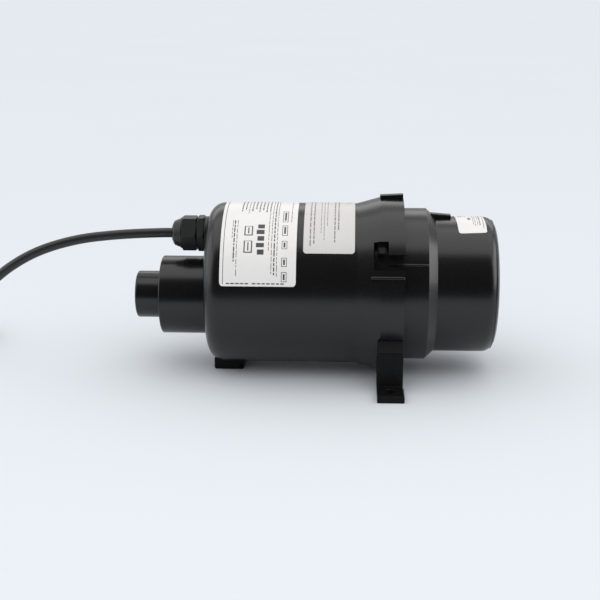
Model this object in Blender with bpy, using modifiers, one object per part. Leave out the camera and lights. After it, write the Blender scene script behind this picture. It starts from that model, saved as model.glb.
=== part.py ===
"""Canister air blower for spas and ponds, as separate named parts. Metres, +Z up.

The blower's axis runs along X. The outlet spigot is at -X, the twist-off intake cap at +X,
and the front leg stands at -Y. Run it in Blender 4.5.
"""

import math

import bmesh
import bpy
from mathutils import Euler, Vector

# Clearance kept between pieces that touch, and the sides of large and of small round parts
GAP = 0.0003
SIDES = 48
INNER_SIDES = 32
SMALL_SIDES = 16
AXIS_HEIGHT = 0.089

# Main housing, a stepped tube closed at the outlet end
HOUSING_RADIUS = 0.082
HOUSING_WALL = 0.003
HOUSING_END_X = -0.1120
HOUSING_END_ROUND = 0.0165
FLARE_START_X = 0.0390
FLANGE_START_X = 0.0625
FLANGE_RADIUS = 0.0886
FLANGE_RIM_X = 0.0856
LEDGE_X = -0.012
LEDGE_THICKNESS = 0.004
LEDGE_RADIUS = 0.070

# Outlet, centred below the blower's axis
OUTLET_HEIGHT = 0.0747
OUTLET_RADIUS = 0.02415
OUTLET_BORE = 0.0204
OUTLET_TIP_X = -0.1881
COLLAR_RADIUS = 0.0402
COLLAR_END_X = -0.1615
SPUD_RADIUS = 0.0367

# Intake cap
SKIRT_RADIUS = 0.0775
SKIRT_END_X = 0.0540
SHOULDER_X = 0.1091
CAP_RADIUS = 0.0691
CAP_START_X = 0.1180
CAP_END_X = 0.1793
CAP_END_ROUND = 0.012
CAP_WALL = 0.003

# Bayonet: three lugs on the cap in three L-shaped slots of the flange, in degrees above the front horizontal
BAYONET_STEP = 120
CHANNEL_ANGLE = 26.75
CHANNEL_WIDTH = 0.0148
LUG_ANGLE = 36.75
LUG_WIDTH = 0.0114
ARM_ANGLE = 31.35
ARM_WIDTH = 0.0290

# Feet
LEG_X = (0.0597, 0.0852)
LEG_FACE_Y = 0.090
LEG_INNER_Y = 0.058
PAD_REACH = 0.1186
PAD_THICKNESS = 0.0073
PAD_SLOT_Y = 0.1040
FOOT_X = (-0.1073, -0.0754)
FOOT_HALF_WIDTH = 0.020

# Cord and gland
GLAND_HEIGHT = 0.140
CORD_RADIUS = 0.005
COIL_CENTRE = (-0.440, 0.060)
COIL_RADIUS = 0.060
COIL_BASE = 0.0015
COIL_TOP = 0.0324
TAIL_HEIGHT = 0.0066
CORD_ROUTE = (
    (-0.1280, 0.0, 0.1400),
    (-0.1520, 0.0, 0.1400),
    (-0.1900, 0.0, 0.1386),
    (-0.2400, 0.0, 0.1335),
    (-0.2850, 0.0, 0.1215),
    (-0.3220, 0.0, 0.1020),
    (-0.3500, 0.0, 0.0795),
    (-0.3730, 0.0, 0.0575),
    (-0.3920, 0.0, 0.0420),
    (-0.3970, 0.0, 0.0386),
)
TAIL_ROUTE = (
    (-0.4775, 0.0, 0.0066),
    (-0.4900, 0.0, 0.0070),
    (-0.5020, 0.0, 0.0093),
    (-0.5120, 0.0, 0.0104),
    (-0.5200, 0.0, 0.0104),
)
PLUG_HEIGHT = 0.0104

# Motor and fan, along the blower's axis
SHELL_RADIUS = 0.0724
SHELL_LENGTH = 0.052
SHELL_WALL = 0.001
EYE_RADIUS = 0.024
CORE_X = (-0.052, -0.018)
STATOR_RADIUS = 0.048
ARMATURE_RADIUS = 0.024
SHAFT_RADIUS = 0.006
COMMUTATOR_X = (-0.075, -0.060)
COMMUTATOR_RADIUS = 0.014
BRUSH_X = -0.0675
BOLT_OFFSET = 0.0545


def finish_of(name, colour, roughness, metallic=0.0):
    """A plain Principled material."""
    material = bpy.data.materials.new(name)
    material.use_nodes = True
    shader = material.node_tree.nodes["Principled BSDF"]
    shader.inputs["Base Color"].default_value = (*colour, 1.0)
    shader.inputs["Roughness"].default_value = roughness
    shader.inputs["Metallic"].default_value = metallic
    material.diffuse_color = (*colour, 1.0)
    return material


def clear_scene():
    for obj in list(bpy.data.objects):
        bpy.data.objects.remove(obj, do_unlink=True)


def new_collection(name):
    collection = bpy.data.collections.new(name)
    bpy.context.scene.collection.children.link(collection)
    return collection


def add(name, mesh, finish):
    """Puts a new object in the blower's collection."""
    obj = bpy.data.objects.new(name, mesh)
    PARTS.objects.link(obj)
    mesh.materials.append(finish)
    return obj


def as_tool(obj):
    """Moves an object to the collection of cutters and joined-on features."""
    PARTS.objects.unlink(obj)
    TOOLS.objects.link(obj)
    obj.hide_render = True
    obj.display_type = "WIRE"
    return obj


def combine(obj, tool, operation="DIFFERENCE"):
    """Adds a Boolean with another object, which then counts as a tool."""
    step = obj.modifiers.new(tool.name, "BOOLEAN")
    step.operation = operation
    step.solver = "EXACT"
    step.object = as_tool(tool)
    return obj


def cut(obj, tool):
    return combine(obj, tool, "DIFFERENCE")


def join(obj, tool):
    return combine(obj, tool, "UNION")


def arc(x, radius, size, start, end, steps):
    """Points of an arc about (x, radius), from one angle to another in degrees."""
    angles = [math.radians(start + (end - start) * i / steps) for i in range(steps + 1)]
    return [(x + size * math.cos(a), radius + size * math.sin(a)) for a in angles]


def turned(name, finish, profile, height=AXIS_HEIGHT, y=0.0, sides=SIDES, upright=False):
    """Turns (x, radius) points about an axis along X, or along Z if upright.

    The points run from the +X end down the outside and, on a hollow part, back up the inside.
    """
    mesh = bpy.data.meshes.new(name)
    edges = [(i, i + 1) for i in range(len(profile) - 1)]
    if profile[0][1] > 0:
        edges.append((len(profile) - 1, 0))
    mesh.from_pydata([(radius, 0.0, x) for x, radius in profile], edges, [])
    obj = add(name, mesh, finish)
    obj.location = (0.0, y, height)
    obj.rotation_euler.y = 0.0 if upright else math.pi / 2
    turn = obj.modifiers.new("Turn", "SCREW")
    turn.steps = sides
    turn.render_steps = sides
    turn.use_merge_vertices = True
    turn.merge_threshold = 0.00001
    return obj


def ring(name, finish, x_range, inner, outer, **options):
    """A plain tube along the axis."""
    low, high = x_range
    return turned(name, finish, [(high, outer), (low, outer), (low, inner), (high, inner)], **options)


def rod(name, finish, x_range, radius, **options):
    """A plain solid cylinder along the axis."""
    low, high = x_range
    return turned(name, finish, [(high, 0.0), (high, radius), (low, radius), (low, 0.0)], **options)


def box(name, finish, low, high):
    """A box primitive between two corners."""
    mesh = bpy.data.meshes.new(name)
    shape = bmesh.new()
    bmesh.ops.create_cube(shape, size=1.0)
    size = Vector(high) - Vector(low)
    bmesh.ops.scale(shape, vec=size, verts=shape.verts)
    shape.to_mesh(mesh)
    shape.free()
    obj = add(name, mesh, finish)
    obj.location = (Vector(high) + Vector(low)) / 2
    return obj


def around(angle, radius):
    """The (y, z) place at a radius from the blower's axis, at an angle above the front horizontal."""
    a = math.radians(angle)
    return -radius * math.cos(a), AXIS_HEIGHT + radius * math.sin(a)


def radial_block(name, finish, x_range, r_range, angle, width, slope=0.0):
    """A box whose own Z points away from the axis.

    A slope lowers the outer face's -X edge, or its +X edge if it is negative.
    """
    mid = (r_range[0] + r_range[1]) / 2
    half = Vector((x_range[1] - x_range[0], width, r_range[1] - r_range[0])) / 2
    obj = box(name, finish, -half, half)
    for vertex in obj.data.vertices:
        if vertex.co.x * slope < 0 and vertex.co.z > 0:
            vertex.co.z -= abs(slope)
    obj.location = ((x_range[0] + x_range[1]) / 2, *around(angle, mid))
    obj.rotation_euler.x = math.radians(90 - angle)
    return obj


def cylinder(name, finish, start, end, radius, sides=SMALL_SIDES):
    """A cylinder primitive between two points."""
    mesh = bpy.data.meshes.new(name)
    shape = bmesh.new()
    span = Vector(end) - Vector(start)
    bmesh.ops.create_cone(
        shape, cap_ends=True, segments=sides, radius1=radius, radius2=radius, depth=span.length
    )
    shape.to_mesh(mesh)
    shape.free()
    obj = add(name, mesh, finish)
    obj.location = (Vector(start) + Vector(end)) / 2
    obj.rotation_euler = span.to_track_quat("Z", "X").to_euler()
    return obj


def hexagon(name, finish, x_range, flats, height, y=0.0):
    """A hexagonal bar along X, measured across its flats."""
    low, high = x_range
    return cylinder(name, finish, (low, y, height), (high, y, height), flats / math.sqrt(3), 6)


def outline(name, finish, points, depth, location, rotation):
    """A flat outline given half its thickness each way, then made a mesh."""
    flat = bpy.data.curves.new(name, "CURVE")
    flat.dimensions = "2D"
    flat.fill_mode = "BOTH"
    flat.extrude = depth / 2
    spline = flat.splines.new("POLY")
    spline.points.add(len(points) - 1)
    for point, (u, v) in zip(spline.points, points):
        point.co = (u, v, 0.0, 1.0)
    spline.use_cyclic_u = True
    curve = bpy.data.objects.new(name + "_outline", flat)
    PARTS.objects.link(curve)
    curve.location = location
    curve.rotation_euler = Euler(rotation)
    return curve_to_mesh(name, finish, curve)


def curve_to_mesh(name, finish, curve):
    """Replaces a curve object with its mesh, with its caps welded on."""
    bpy.context.view_layer.update()
    evaluated = curve.evaluated_get(bpy.context.evaluated_depsgraph_get())
    mesh = bpy.data.meshes.new_from_object(evaluated)
    mesh.materials.clear()
    shape = bmesh.new()
    shape.from_mesh(mesh)
    bmesh.ops.remove_doubles(shape, verts=shape.verts, dist=0.000001)
    bmesh.ops.recalc_face_normals(shape, faces=shape.faces)
    shape.to_mesh(mesh)
    shape.free()
    obj = add(name, mesh, finish)
    obj.matrix_world = curve.matrix_world
    bpy.data.objects.remove(curve, do_unlink=True)
    return obj


def smooth_route(points, spacing):
    """Points read at a spacing from a Catmull-Rom curve through a route's own points."""
    ends = [2 * Vector(points[0]) - Vector(points[1]), 2 * Vector(points[-1]) - Vector(points[-2])]
    route = [ends[0], *map(Vector, points), ends[1]]
    fine = []
    for a, b, c, d in zip(route, route[1:], route[2:], route[3:]):
        steps = max(1, round((c - b).length / spacing))
        for i in range(steps):
            t = i / steps
            bend = (2 * a - 5 * b + 4 * c - d) * t * t + (3 * b - a - 3 * c + d) * t * t * t
            fine.append(b + ((c - a) * t + bend) / 2)
    return [*fine, Vector(points[-1])]


def tube(name, finish, points, radius, resolution=2):
    """A round wire or cord along points, with filled ends."""
    data = bpy.data.curves.new(name, "CURVE")
    data.dimensions = "3D"
    data.bevel_depth = radius
    data.bevel_resolution = resolution
    data.use_fill_caps = True
    spline = data.splines.new("POLY")
    spline.points.add(len(points) - 1)
    for point, place in zip(spline.points, points):
        point.co = (*place, 1.0)
    return add(name, data, finish)


def soften(obj, width, segments=2):
    """Rounds every edge of a box-like part."""
    step = obj.modifiers.new("Round", "BEVEL")
    step.width = width
    step.segments = segments
    step.limit_method = "ANGLE"
    return obj


def main_housing(finish):
    """The stepped tube, with its outlet and cord holes, bayonet slots, tab and rib."""
    edge = 0.0008
    inner = HOUSING_RADIUS - HOUSING_WALL
    flange_inner = FLANGE_RADIUS - HOUSING_WALL
    round_x = HOUSING_END_X + HOUSING_END_ROUND
    round_radius = HOUSING_RADIUS - HOUSING_END_ROUND
    hole_start = 0.010
    profile = [
        (FLANGE_RIM_X, FLANGE_RADIUS - edge),
        (FLANGE_RIM_X - edge, FLANGE_RADIUS),
        (FLANGE_START_X, FLANGE_RADIUS),
        (FLARE_START_X, HOUSING_RADIUS),
        *arc(round_x, round_radius, HOUSING_END_ROUND, 90, 180, 5),
        (HOUSING_END_X, hole_start),
        (HOUSING_END_X + HOUSING_WALL, hole_start),
        *arc(round_x, round_radius, HOUSING_END_ROUND - HOUSING_WALL, 180, 90, 4),
        (LEDGE_X, inner),
        (LEDGE_X, LEDGE_RADIUS),
        (LEDGE_X + LEDGE_THICKNESS, LEDGE_RADIUS),
        (LEDGE_X + LEDGE_THICKNESS, inner),
        (FLARE_START_X, inner),
        (FLANGE_START_X, flange_inner),
        (FLANGE_RIM_X, flange_inner),
    ]
    housing = turned("main_housing", finish, profile)
    through = (HOUSING_END_X - 0.005, HOUSING_END_X + 0.008)
    cut(housing, rod("outlet_hole", finish, through, SPUD_RADIUS + GAP, height=OUTLET_HEIGHT))
    cut(housing, rod("gland_hole", finish, through, 0.0083, height=GLAND_HEIGHT, sides=SMALL_SIDES))
    embedded = FLANGE_RADIUS - 0.0015
    tab = radial_block("flange_tab", finish, (0.0619, 0.0853), (embedded, 0.0932), 90, 0.022, 0.0030)
    join(housing, tab)
    rib_x = (0.0525, 0.0848)
    join(housing, radial_block("flange_rib", finish, rib_x, (embedded, 0.0894), 17, 0.0012))
    for i in range(3):
        turn = i * BAYONET_STEP
        channel_x = (0.0552, FLANGE_RIM_X + 0.004)
        radii = (0.080, 0.098)
        angle = CHANNEL_ANGLE + turn
        cut(housing, radial_block(f"slot_channel_{i}", finish, channel_x, radii, angle, CHANNEL_WIDTH))
        angle = ARM_ANGLE + turn
        cut(housing, radial_block(f"slot_arm_{i}", finish, (0.0552, 0.0695), radii, angle, ARM_WIDTH))
    return housing


def outlet_spigot(finish):
    """The big collar and the smaller pipe spigot, hollow all the way through."""
    edge = 0.0016
    spud_inner = SPUD_RADIUS - 0.003
    collar_inner = COLLAR_RADIUS - 0.003
    profile = [
        (HOUSING_END_X + 0.0064, SPUD_RADIUS),
        (HOUSING_END_X - GAP, SPUD_RADIUS),
        (HOUSING_END_X - GAP, COLLAR_RADIUS),
        (COLLAR_END_X + edge, COLLAR_RADIUS),
        (COLLAR_END_X, COLLAR_RADIUS - edge),
        (COLLAR_END_X, OUTLET_RADIUS),
        (OUTLET_TIP_X + edge, OUTLET_RADIUS),
        (OUTLET_TIP_X, OUTLET_RADIUS - edge),
        (OUTLET_TIP_X, OUTLET_BORE),
        (COLLAR_END_X + 0.003, OUTLET_BORE),
        (COLLAR_END_X + 0.003, collar_inner),
        (HOUSING_END_X - 0.004, collar_inner),
        (HOUSING_END_X - 0.001, spud_inner),
        (HOUSING_END_X + 0.0064, spud_inner),
    ]
    return turned("outlet_spigot", finish, profile, height=OUTLET_HEIGHT)


def end_cap(finish):
    """The twist-off cap: a skirt inside the flange, a chamfered step and a rounded closed end."""
    round_x = CAP_END_X - CAP_END_ROUND
    round_radius = CAP_RADIUS - CAP_END_ROUND
    profile = [
        (CAP_END_X, 0.0),
        *arc(round_x, round_radius, CAP_END_ROUND, 0, 90, 5),
        (CAP_START_X, CAP_RADIUS),
        (SHOULDER_X, SKIRT_RADIUS),
        (SKIRT_END_X, SKIRT_RADIUS),
        (SKIRT_END_X, SKIRT_RADIUS - CAP_WALL),
        (SHOULDER_X - 0.0014, SKIRT_RADIUS - CAP_WALL),
        (CAP_START_X - 0.0014, CAP_RADIUS - CAP_WALL),
        *arc(round_x, round_radius, CAP_END_ROUND - CAP_WALL, 90, 0, 4),
        (CAP_END_X - CAP_WALL, 0.0),
    ]
    cap = turned("end_cap", finish, profile)
    wedge_x, wedge_radii = (0.1104, 0.1338), (0.0675, 0.0741)
    join(cap, radial_block("cap_wedge", finish, wedge_x, wedge_radii, 90, 0.022, -0.0025))
    cap_rib = radial_block("cap_rib", finish, (0.0700, SHOULDER_X), (0.0765, 0.0783), 27, 0.0012)
    join(cap, cap_rib)
    for i in range(3):
        angle = LUG_ANGLE + i * BAYONET_STEP
        lug = radial_block(f"cap_lug_{i}", finish, (0.0591, 0.0677), (0.0760, 0.0872), angle, LUG_WIDTH)
        join(cap, lug)
        for j in range(1, 4):
            window_x = (0.0620, 0.0820)
            window = f"intake_window_{i}_{j}"
            cut(cap, radial_block(window, finish, window_x, (0.070, 0.082), angle + 30 * j, 0.016))
    return cap


def label(name, finish, radius, x_range, angles, corner):
    """A thin curved sticker: a ring cut down to one round-cornered patch."""
    thickness = 0.0003
    middle = (angles[0] + angles[1]) / 2
    half = math.radians(angles[1] - angles[0]) / 2
    margin = 0.004
    sleeve = (x_range[0] - margin, x_range[1] + margin)
    patch = ring(name, finish, sleeve, radius + 0.0002, radius + 0.0002 + thickness)
    width = 2 * radius * math.sin(half)
    depth = (radius * math.cos(half) - margin, radius + margin)
    stamp = radial_block(name + "_stamp", finish, x_range, depth, middle, width)
    round_upright_edges(stamp, corner)
    return combine(patch, stamp, "INTERSECT")


def round_upright_edges(obj, width):
    """Rounds the four edges of a box that run along its own Z."""
    shape = bmesh.new()
    shape.from_mesh(obj.data)
    upright = [e for e in shape.edges if abs(e.verts[0].co.z - e.verts[1].co.z) > 0.5 * obj.dimensions.z]
    bmesh.ops.bevel(shape, geom=upright, offset=width, segments=4, profile=0.5, affect="EDGES")
    shape.to_mesh(obj.data)
    shape.free()


def mounting_leg(name, finish, side):
    """A leg from the flange down to a slotted floor pad, hollow underneath."""
    seat = FLANGE_RADIUS + GAP
    inner_angle = 90 - math.degrees(math.asin(LEG_INNER_Y / seat))
    seat_points = arc(0.0, AXIS_HEIGHT, seat, -inner_angle, -25, 6)
    points = [
        *seat_points,
        (LEG_FACE_Y, 0.0410),
        (LEG_FACE_Y, PAD_THICKNESS),
        (PAD_REACH - 0.001, PAD_THICKNESS),
        (PAD_REACH, PAD_THICKNESS - 0.001),
        (PAD_REACH, 0.0),
        (LEG_INNER_Y, 0.0),
    ]
    middle = (LEG_X[0] + LEG_X[1]) / 2
    depth = LEG_X[1] - LEG_X[0]
    points = [(side * y, z) for y, z in points]
    upright = (math.pi / 2, 0.0, math.pi / 2)
    leg = outline(name, finish, points, depth, (middle, 0.0, 0.0), upright)
    wall = 0.003
    near, far = sorted((side * (LEG_INNER_Y + wall), side * (LEG_FACE_Y - wall)))
    low = (LEG_X[0] + wall, near, -0.001)
    cut(leg, box(name + "_pocket", finish, low, (LEG_X[1] - wall, far, 0.011)))
    slot_half = 0.0035
    slot_y = side * PAD_SLOT_Y
    slot_low = (middle - slot_half, slot_y - 0.006, -0.001)
    slot = box(name + "_slot", finish, slot_low, (middle + slot_half, slot_y + 0.006, 0.012))
    bpy.context.view_layer.update()
    round_upright_edges(slot, 0.0033)
    return cut(leg, slot)


def outlet_end_foot(finish):
    """The low foot under the housing, with a slanted inner end and an eyelet."""
    left, right = FOOT_X
    points = [
        *arc(left + 0.003, 0.003, 0.003, 180, 270, 3),
        (right - 0.0057, 0.0),
        (right, 0.0092),
        (right, 0.0115),
        (left, 0.0115),
    ]
    flat = (math.pi / 2, 0.0, 0.0)
    foot = outline("outlet_end_foot", finish, points, 2 * FOOT_HALF_WIDTH, (0.0, 0.0, 0.0), flat)
    round_x = HOUSING_END_X + HOUSING_END_ROUND
    round_radius = HOUSING_RADIUS - HOUSING_END_ROUND
    clear = [
        (FLARE_START_X, 0.0),
        (FLARE_START_X, HOUSING_RADIUS + GAP),
        *arc(round_x, round_radius, HOUSING_END_ROUND + GAP, 90, 180, 6),
        (HOUSING_END_X - GAP, 0.0),
    ]
    cut(foot, turned("foot_clearance", finish, clear))
    eyelet_x, eyelet_z = right - 0.0058, 0.0036
    reach = FOOT_HALF_WIDTH + 0.002
    start, end = (eyelet_x, -reach, eyelet_z), (eyelet_x, reach, eyelet_z)
    return cut(foot, cylinder("foot_eyelet", finish, start, end, 0.0012, 12))


def cord_gland(nylon, rubber):
    """The cord gland: a body through the wall, a domed nut, its seal and the nut inside."""
    tip, dome_end, nut_end, collar_end = -0.1503, -0.1399, -0.1247, -0.1167
    inner_end, cage_end, seal_seat = -0.1000, -0.1450, -0.1330
    thread, cage, seat, cord_hole = 0.0080, 0.0100, 0.0172, 0.0056
    nut_bore = cage + GAP
    options = {"height": GLAND_HEIGHT, "sides": 24}
    body = turned(
        "gland_body",
        nylon,
        [
            (inner_end, thread),
            (HOUSING_END_X - GAP, thread),
            (HOUSING_END_X - GAP, seat),
            (collar_end, seat),
            (nut_end + GAP, seat - 0.0007),
            (nut_end + GAP, cage),
            (cage_end, cage),
            (cage_end, thread + 0.0001),
            (seal_seat, thread + 0.0001),
            (seal_seat, cord_hole),
            (inner_end, cord_hole),
        ],
        **options,
    )
    hex_block = hexagon("gland_body_hex", nylon, (nut_end + GAP, collar_end), 0.0340, GLAND_HEIGHT)
    bore = rod("gland_body_bore", nylon, (tip, inner_end + 0.005), cord_hole, **options)
    join(body, hex_block)
    cut(body, bore)
    dome_height, dome_centre = 0.0092, 0.0072
    dome = [
        (dome_end + 0.001, 0.0155),
        *arc(dome_end, dome_centre, dome_height, 90, 165, 5),
        (tip, cord_hole),
    ]
    cavity = [(-0.1465, cord_hole), (-0.1455, nut_bore), (dome_end + 0.001, nut_bore)]
    nut = turned("gland_dome_nut", nylon, dome + cavity, **options)
    sleeve = hexagon("dome_nut_hex", nylon, (dome_end, nut_end), 0.0330, GLAND_HEIGHT)
    join(nut, sleeve)
    cut(nut, rod("dome_nut_bore", nylon, (-0.1452, -0.1200), nut_bore, **options))
    seal_x = (cage_end + 0.0002, seal_seat - GAP)
    ring("gland_seal", rubber, seal_x, cord_hole - GAP, thread - 0.0002, **options)
    locknut_x = (-0.1087, -0.1026)
    locknut = hexagon("gland_locknut", nylon, locknut_x, 0.0240, GLAND_HEIGHT)
    cut(locknut, rod("locknut_bore", nylon, (-0.1100, -0.0990), thread + GAP, **options))


def power_cord(pvc, tie, metal):
    """The cord down to its coil, the coil's outer shape, the tie, the tail and the plug."""
    spacing = 2.5 * 2 * CORD_RADIUS
    tube("power_cord", pvc, smooth_route(CORD_ROUTE, spacing), CORD_RADIUS, 3)
    coil = ring(
        "cord_coil",
        pvc,
        (COIL_BASE, COIL_TOP),
        COIL_RADIUS - 1.04 * CORD_RADIUS,
        COIL_RADIUS + 1.04 * CORD_RADIUS,
        height=0.0,
        y=COIL_CENTRE[1],
        sides=INNER_SIDES,
        upright=True,
    )
    coil.location.x = COIL_CENTRE[0]
    tie_band(tie)
    tube("cord_tail", pvc, smooth_route(TAIL_ROUTE, spacing), CORD_RADIUS, 3)
    plug(pvc, metal)


def tie_band(finish):
    """A flat strap round the coil's section, at its +Y side."""
    thickness, half_width = 0.0010, 0.006
    y = COIL_CENTRE[1] + COIL_RADIUS
    reach = 1.04 * CORD_RADIUS + 2.5 * GAP
    low_z, high_z = COIL_BASE - GAP, COIL_TOP + GAP
    x = COIL_CENTRE[0]
    low = (x - half_width, y - reach - thickness, low_z - thickness)
    high = (x + half_width, y + reach + thickness, high_z + thickness)
    band = box("coil_tie", finish, low, high)
    low = (x - 2 * half_width, y - reach, low_z)
    return cut(band, box("coil_tie_window", finish, low, (x + 2 * half_width, y + reach, high_z)))


def plug(pvc, metal):
    """A moulded three-pin connector lying on the floor, with its pins inside a shroud."""
    back, front = TAIL_ROUTE[-1][0] - 2 * GAP, -0.5650
    half_width, half_height = 0.0150, 0.0100
    relief_length, shroud_depth = 0.014, 0.015
    body_x = back - relief_length
    low = (front, -half_width, PLUG_HEIGHT - half_height)
    body = box("plug_body", pvc, low, (body_x, half_width, PLUG_HEIGHT + half_height))
    relief = [(back, 0.0), (back, 0.0062), (body_x - 0.002, 0.0085), (body_x - 0.002, 0.0)]
    soften(body, 0.0020)
    join(body, turned("plug_relief", pvc, relief, height=PLUG_HEIGHT, sides=SMALL_SIDES))
    mouth = 0.0018
    low = (front - 0.002, mouth - half_width, PLUG_HEIGHT - half_height + mouth)
    high = (front + shroud_depth, half_width - mouth, PLUG_HEIGHT + half_height - mouth)
    cut(body, box("plug_shroud", pvc, low, high))
    pin_gap, pin_reach = 0.0085, 0.013
    for i in range(3):
        y = (i - 1) * pin_gap
        root = (front + shroud_depth - GAP, y, PLUG_HEIGHT)
        tip = (front + shroud_depth - pin_reach, y, PLUG_HEIGHT)
        cylinder(f"plug_pin_{i + 1}", metal, root, tip, 0.0018, 12)


def swept_blades(name, finish, count, radii, sweep, x_range, thickness):
    """Curved blades standing along the axis, as open ribbons given a wall."""
    steps = 5
    shape = bmesh.new()
    for k in range(count):
        rows = []
        for i in range(steps + 1):
            radius = radii[0] + (radii[1] - radii[0]) * i / steps
            angle = 2 * math.pi * k / count + math.radians(sweep) * i / steps
            place = (radius * math.cos(angle), radius * math.sin(angle))
            rows.append([shape.verts.new((*place, x)) for x in x_range])
        for (a, b), (c, d) in zip(rows, rows[1:]):
            shape.faces.new((a, c, d, b))
    mesh = bpy.data.meshes.new(name)
    shape.to_mesh(mesh)
    shape.free()
    obj = add(name, mesh, finish)
    obj.location.z = AXIS_HEIGHT
    obj.rotation_euler.y = math.pi / 2
    wall = obj.modifiers.new("Wall", "SOLIDIFY")
    wall.thickness = thickness
    wall.offset = 0.0
    return obj


def impeller(name, finish, back_x, front_x):
    """A back plate with a hub hole, swept blades and a shroud with an eye."""
    plate, rim, bore = 0.0012, 0.066, SHAFT_RADIUS - 0.0010 + GAP
    wheel = ring(name, finish, (back_x, back_x + plate), bore, rim, sides=INNER_SIDES)
    shroud_x = front_x - plate
    shroud = ring(name + "_shroud", finish, (shroud_x, front_x), EYE_RADIUS, rim, sides=INNER_SIDES)
    span = (back_x + plate / 2, front_x - plate / 2)
    join(wheel, swept_blades(name + "_blades", finish, 8, (0.028, rim - 0.002), 45, span, 0.0012))
    return join(wheel, shroud)


def stage_divider(finish):
    """The fixed plate between the two impellers, with return vanes on the motor side."""
    plate_x = (0.0270, 0.0282)
    outer = SHELL_RADIUS - SHELL_WALL - GAP
    divider = ring("stage_divider", finish, plate_x, 0.020, outer, sides=INNER_SIDES)
    span = (0.0222, 0.0276)
    return join(divider, swept_blades("return_vanes", finish, 8, (0.026, 0.068), -40, span, 0.0012))


def fan_shell(finish):
    """The drawn can round both fan stages, with a lipped inlet eye."""
    inner = SHELL_RADIUS - SHELL_WALL
    profile = [
        (SHELL_LENGTH, EYE_RADIUS - 0.001),
        (SHELL_LENGTH, SHELL_RADIUS - 0.002),
        (SHELL_LENGTH - 0.002, SHELL_RADIUS),
        (0.0, SHELL_RADIUS),
        (0.0, inner),
        (SHELL_LENGTH - 0.0025, inner),
        (SHELL_LENGTH - SHELL_WALL, inner - 0.0015),
        (SHELL_LENGTH - SHELL_WALL, EYE_RADIUS),
        (SHELL_LENGTH - 0.0030, EYE_RADIUS),
        (SHELL_LENGTH - 0.0030, EYE_RADIUS - 0.001),
    ]
    return turned("fan_shell", finish, profile, sides=INNER_SIDES)


def fan_bracket(finish):
    """The plate behind the fan, with the front bearing's seat, air holes and bolt ears."""
    profile = [
        (-GAP, 0.0163),
        (-GAP, SHELL_RADIUS),
        (-0.0040, SHELL_RADIUS),
        (-0.0040, STATOR_RADIUS + 0.002),
        (CORE_X[1] + GAP, STATOR_RADIUS + 0.002),
        (CORE_X[1] + GAP, STATOR_RADIUS - 0.003),
        (-0.0040, STATOR_RADIUS - 0.003),
        (-0.0040, 0.0190),
        (-0.0125, 0.0190),
        (-0.0125, 0.0110),
        (-0.0113, 0.0110),
        (-0.0113, 0.0163),
    ]
    bracket = turned("fan_bracket", finish, profile, sides=INNER_SIDES)
    for i in range(6):
        y, z = around(30 + 60 * i, 0.032)
        hole = f"bracket_air_hole_{i}"
        cut(bracket, cylinder(hole, finish, (-0.006, y, z), (0.002, y, z), 0.009))
    return bolt_holes(bracket, finish, 0.0022)


def bolt_holes(obj, finish, radius):
    """Drills the two through-bolt holes of a motor bracket."""
    for i, y in enumerate((-BOLT_OFFSET, BOLT_OFFSET)):
        start, end = (-0.1, y, AXIS_HEIGHT), (0.02, y, AXIS_HEIGHT)
        cut(obj, cylinder(f"{obj.name}_bolt_hole_{i}", finish, start, end, radius))
    return obj


def brush_bracket(finish):
    """The motor's outlet-end frame: bearing seat, skirt with brush windows, and bolt ears."""
    skirt = (STATOR_RADIUS - 0.003, STATOR_RADIUS)
    profile = [
        (CORE_X[0] - GAP, skirt[1]),
        (-0.0850, skirt[1]),
        (-0.0850, 0.0142),
        (-0.0925, 0.0142),
        (-0.0925, 0.0070),
        (-0.0915, 0.0070),
        (-0.0915, 0.0113),
        (-0.0820, 0.0113),
        (-0.0820, skirt[0]),
        (CORE_X[0] - GAP, skirt[0]),
    ]
    bracket = turned("brush_bracket", finish, profile, sides=INNER_SIDES)
    for i, side in enumerate((-1, 1)):
        inner, outer = sorted((side * 0.0465, side * 0.0610))
        low = (-0.0850, inner, AXIS_HEIGHT - 0.007)
        join(bracket, box(f"bracket_ear_{i}", finish, low, (-0.0790, outer, AXIS_HEIGHT + 0.007)))
        z = sorted((AXIS_HEIGHT + side * 0.040, AXIS_HEIGHT + side * 0.052))
        low = (BRUSH_X - 0.0066, -0.0066, z[0])
        cut(bracket, box(f"brush_window_{i}", finish, low, (BRUSH_X + 0.0066, 0.0066, z[1])))
    for i in range(6):
        y, z = around(30 + 60 * i, 0.0300)
        hole = f"brush_air_hole_{i}"
        cut(bracket, cylinder(hole, finish, (-0.088, y, z), (-0.079, y, z), 0.0085))
    screw_hole = cylinder("earth_hole", finish, (-0.088, 0.0, 0.0670), (-0.079, 0.0, 0.0670), 0.0020)
    cut(bracket, screw_hole)
    return bolt_holes(bracket, finish, 0.0022)


def through_bolts(finish):
    """Two long bolts that clamp the motor's brackets on the stator."""
    for name, y in (("front", -BOLT_OFFSET), ("back", BOLT_OFFSET)):
        profile = [(-0.0004, 0.0), (-0.0004, 0.0019), (-0.0853, 0.0019), (-0.0853, 0.0036)]
        profile += [(-0.0885, 0.0036), (-0.0885, 0.0)]
        turned(f"through_bolt_{name}", finish, profile, y=y, sides=SMALL_SIDES)


def bearings(finish):
    """The inner and outer rings of the two shaft bearings."""
    ring("front_bearing_outer", finish, (-0.0110, -0.0010), 0.0127, 0.0160, sides=INNER_SIDES)
    ring("front_bearing_inner", finish, (-0.0110, -0.0010), 0.0063, 0.0090, sides=INNER_SIDES)
    ring("rear_bearing_outer", finish, (-0.0912, -0.0842), 0.0090, 0.0110, sides=INNER_SIDES)
    ring("rear_bearing_inner", finish, (-0.0912, -0.0842), 0.0043, 0.0062, sides=INNER_SIDES)


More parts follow.
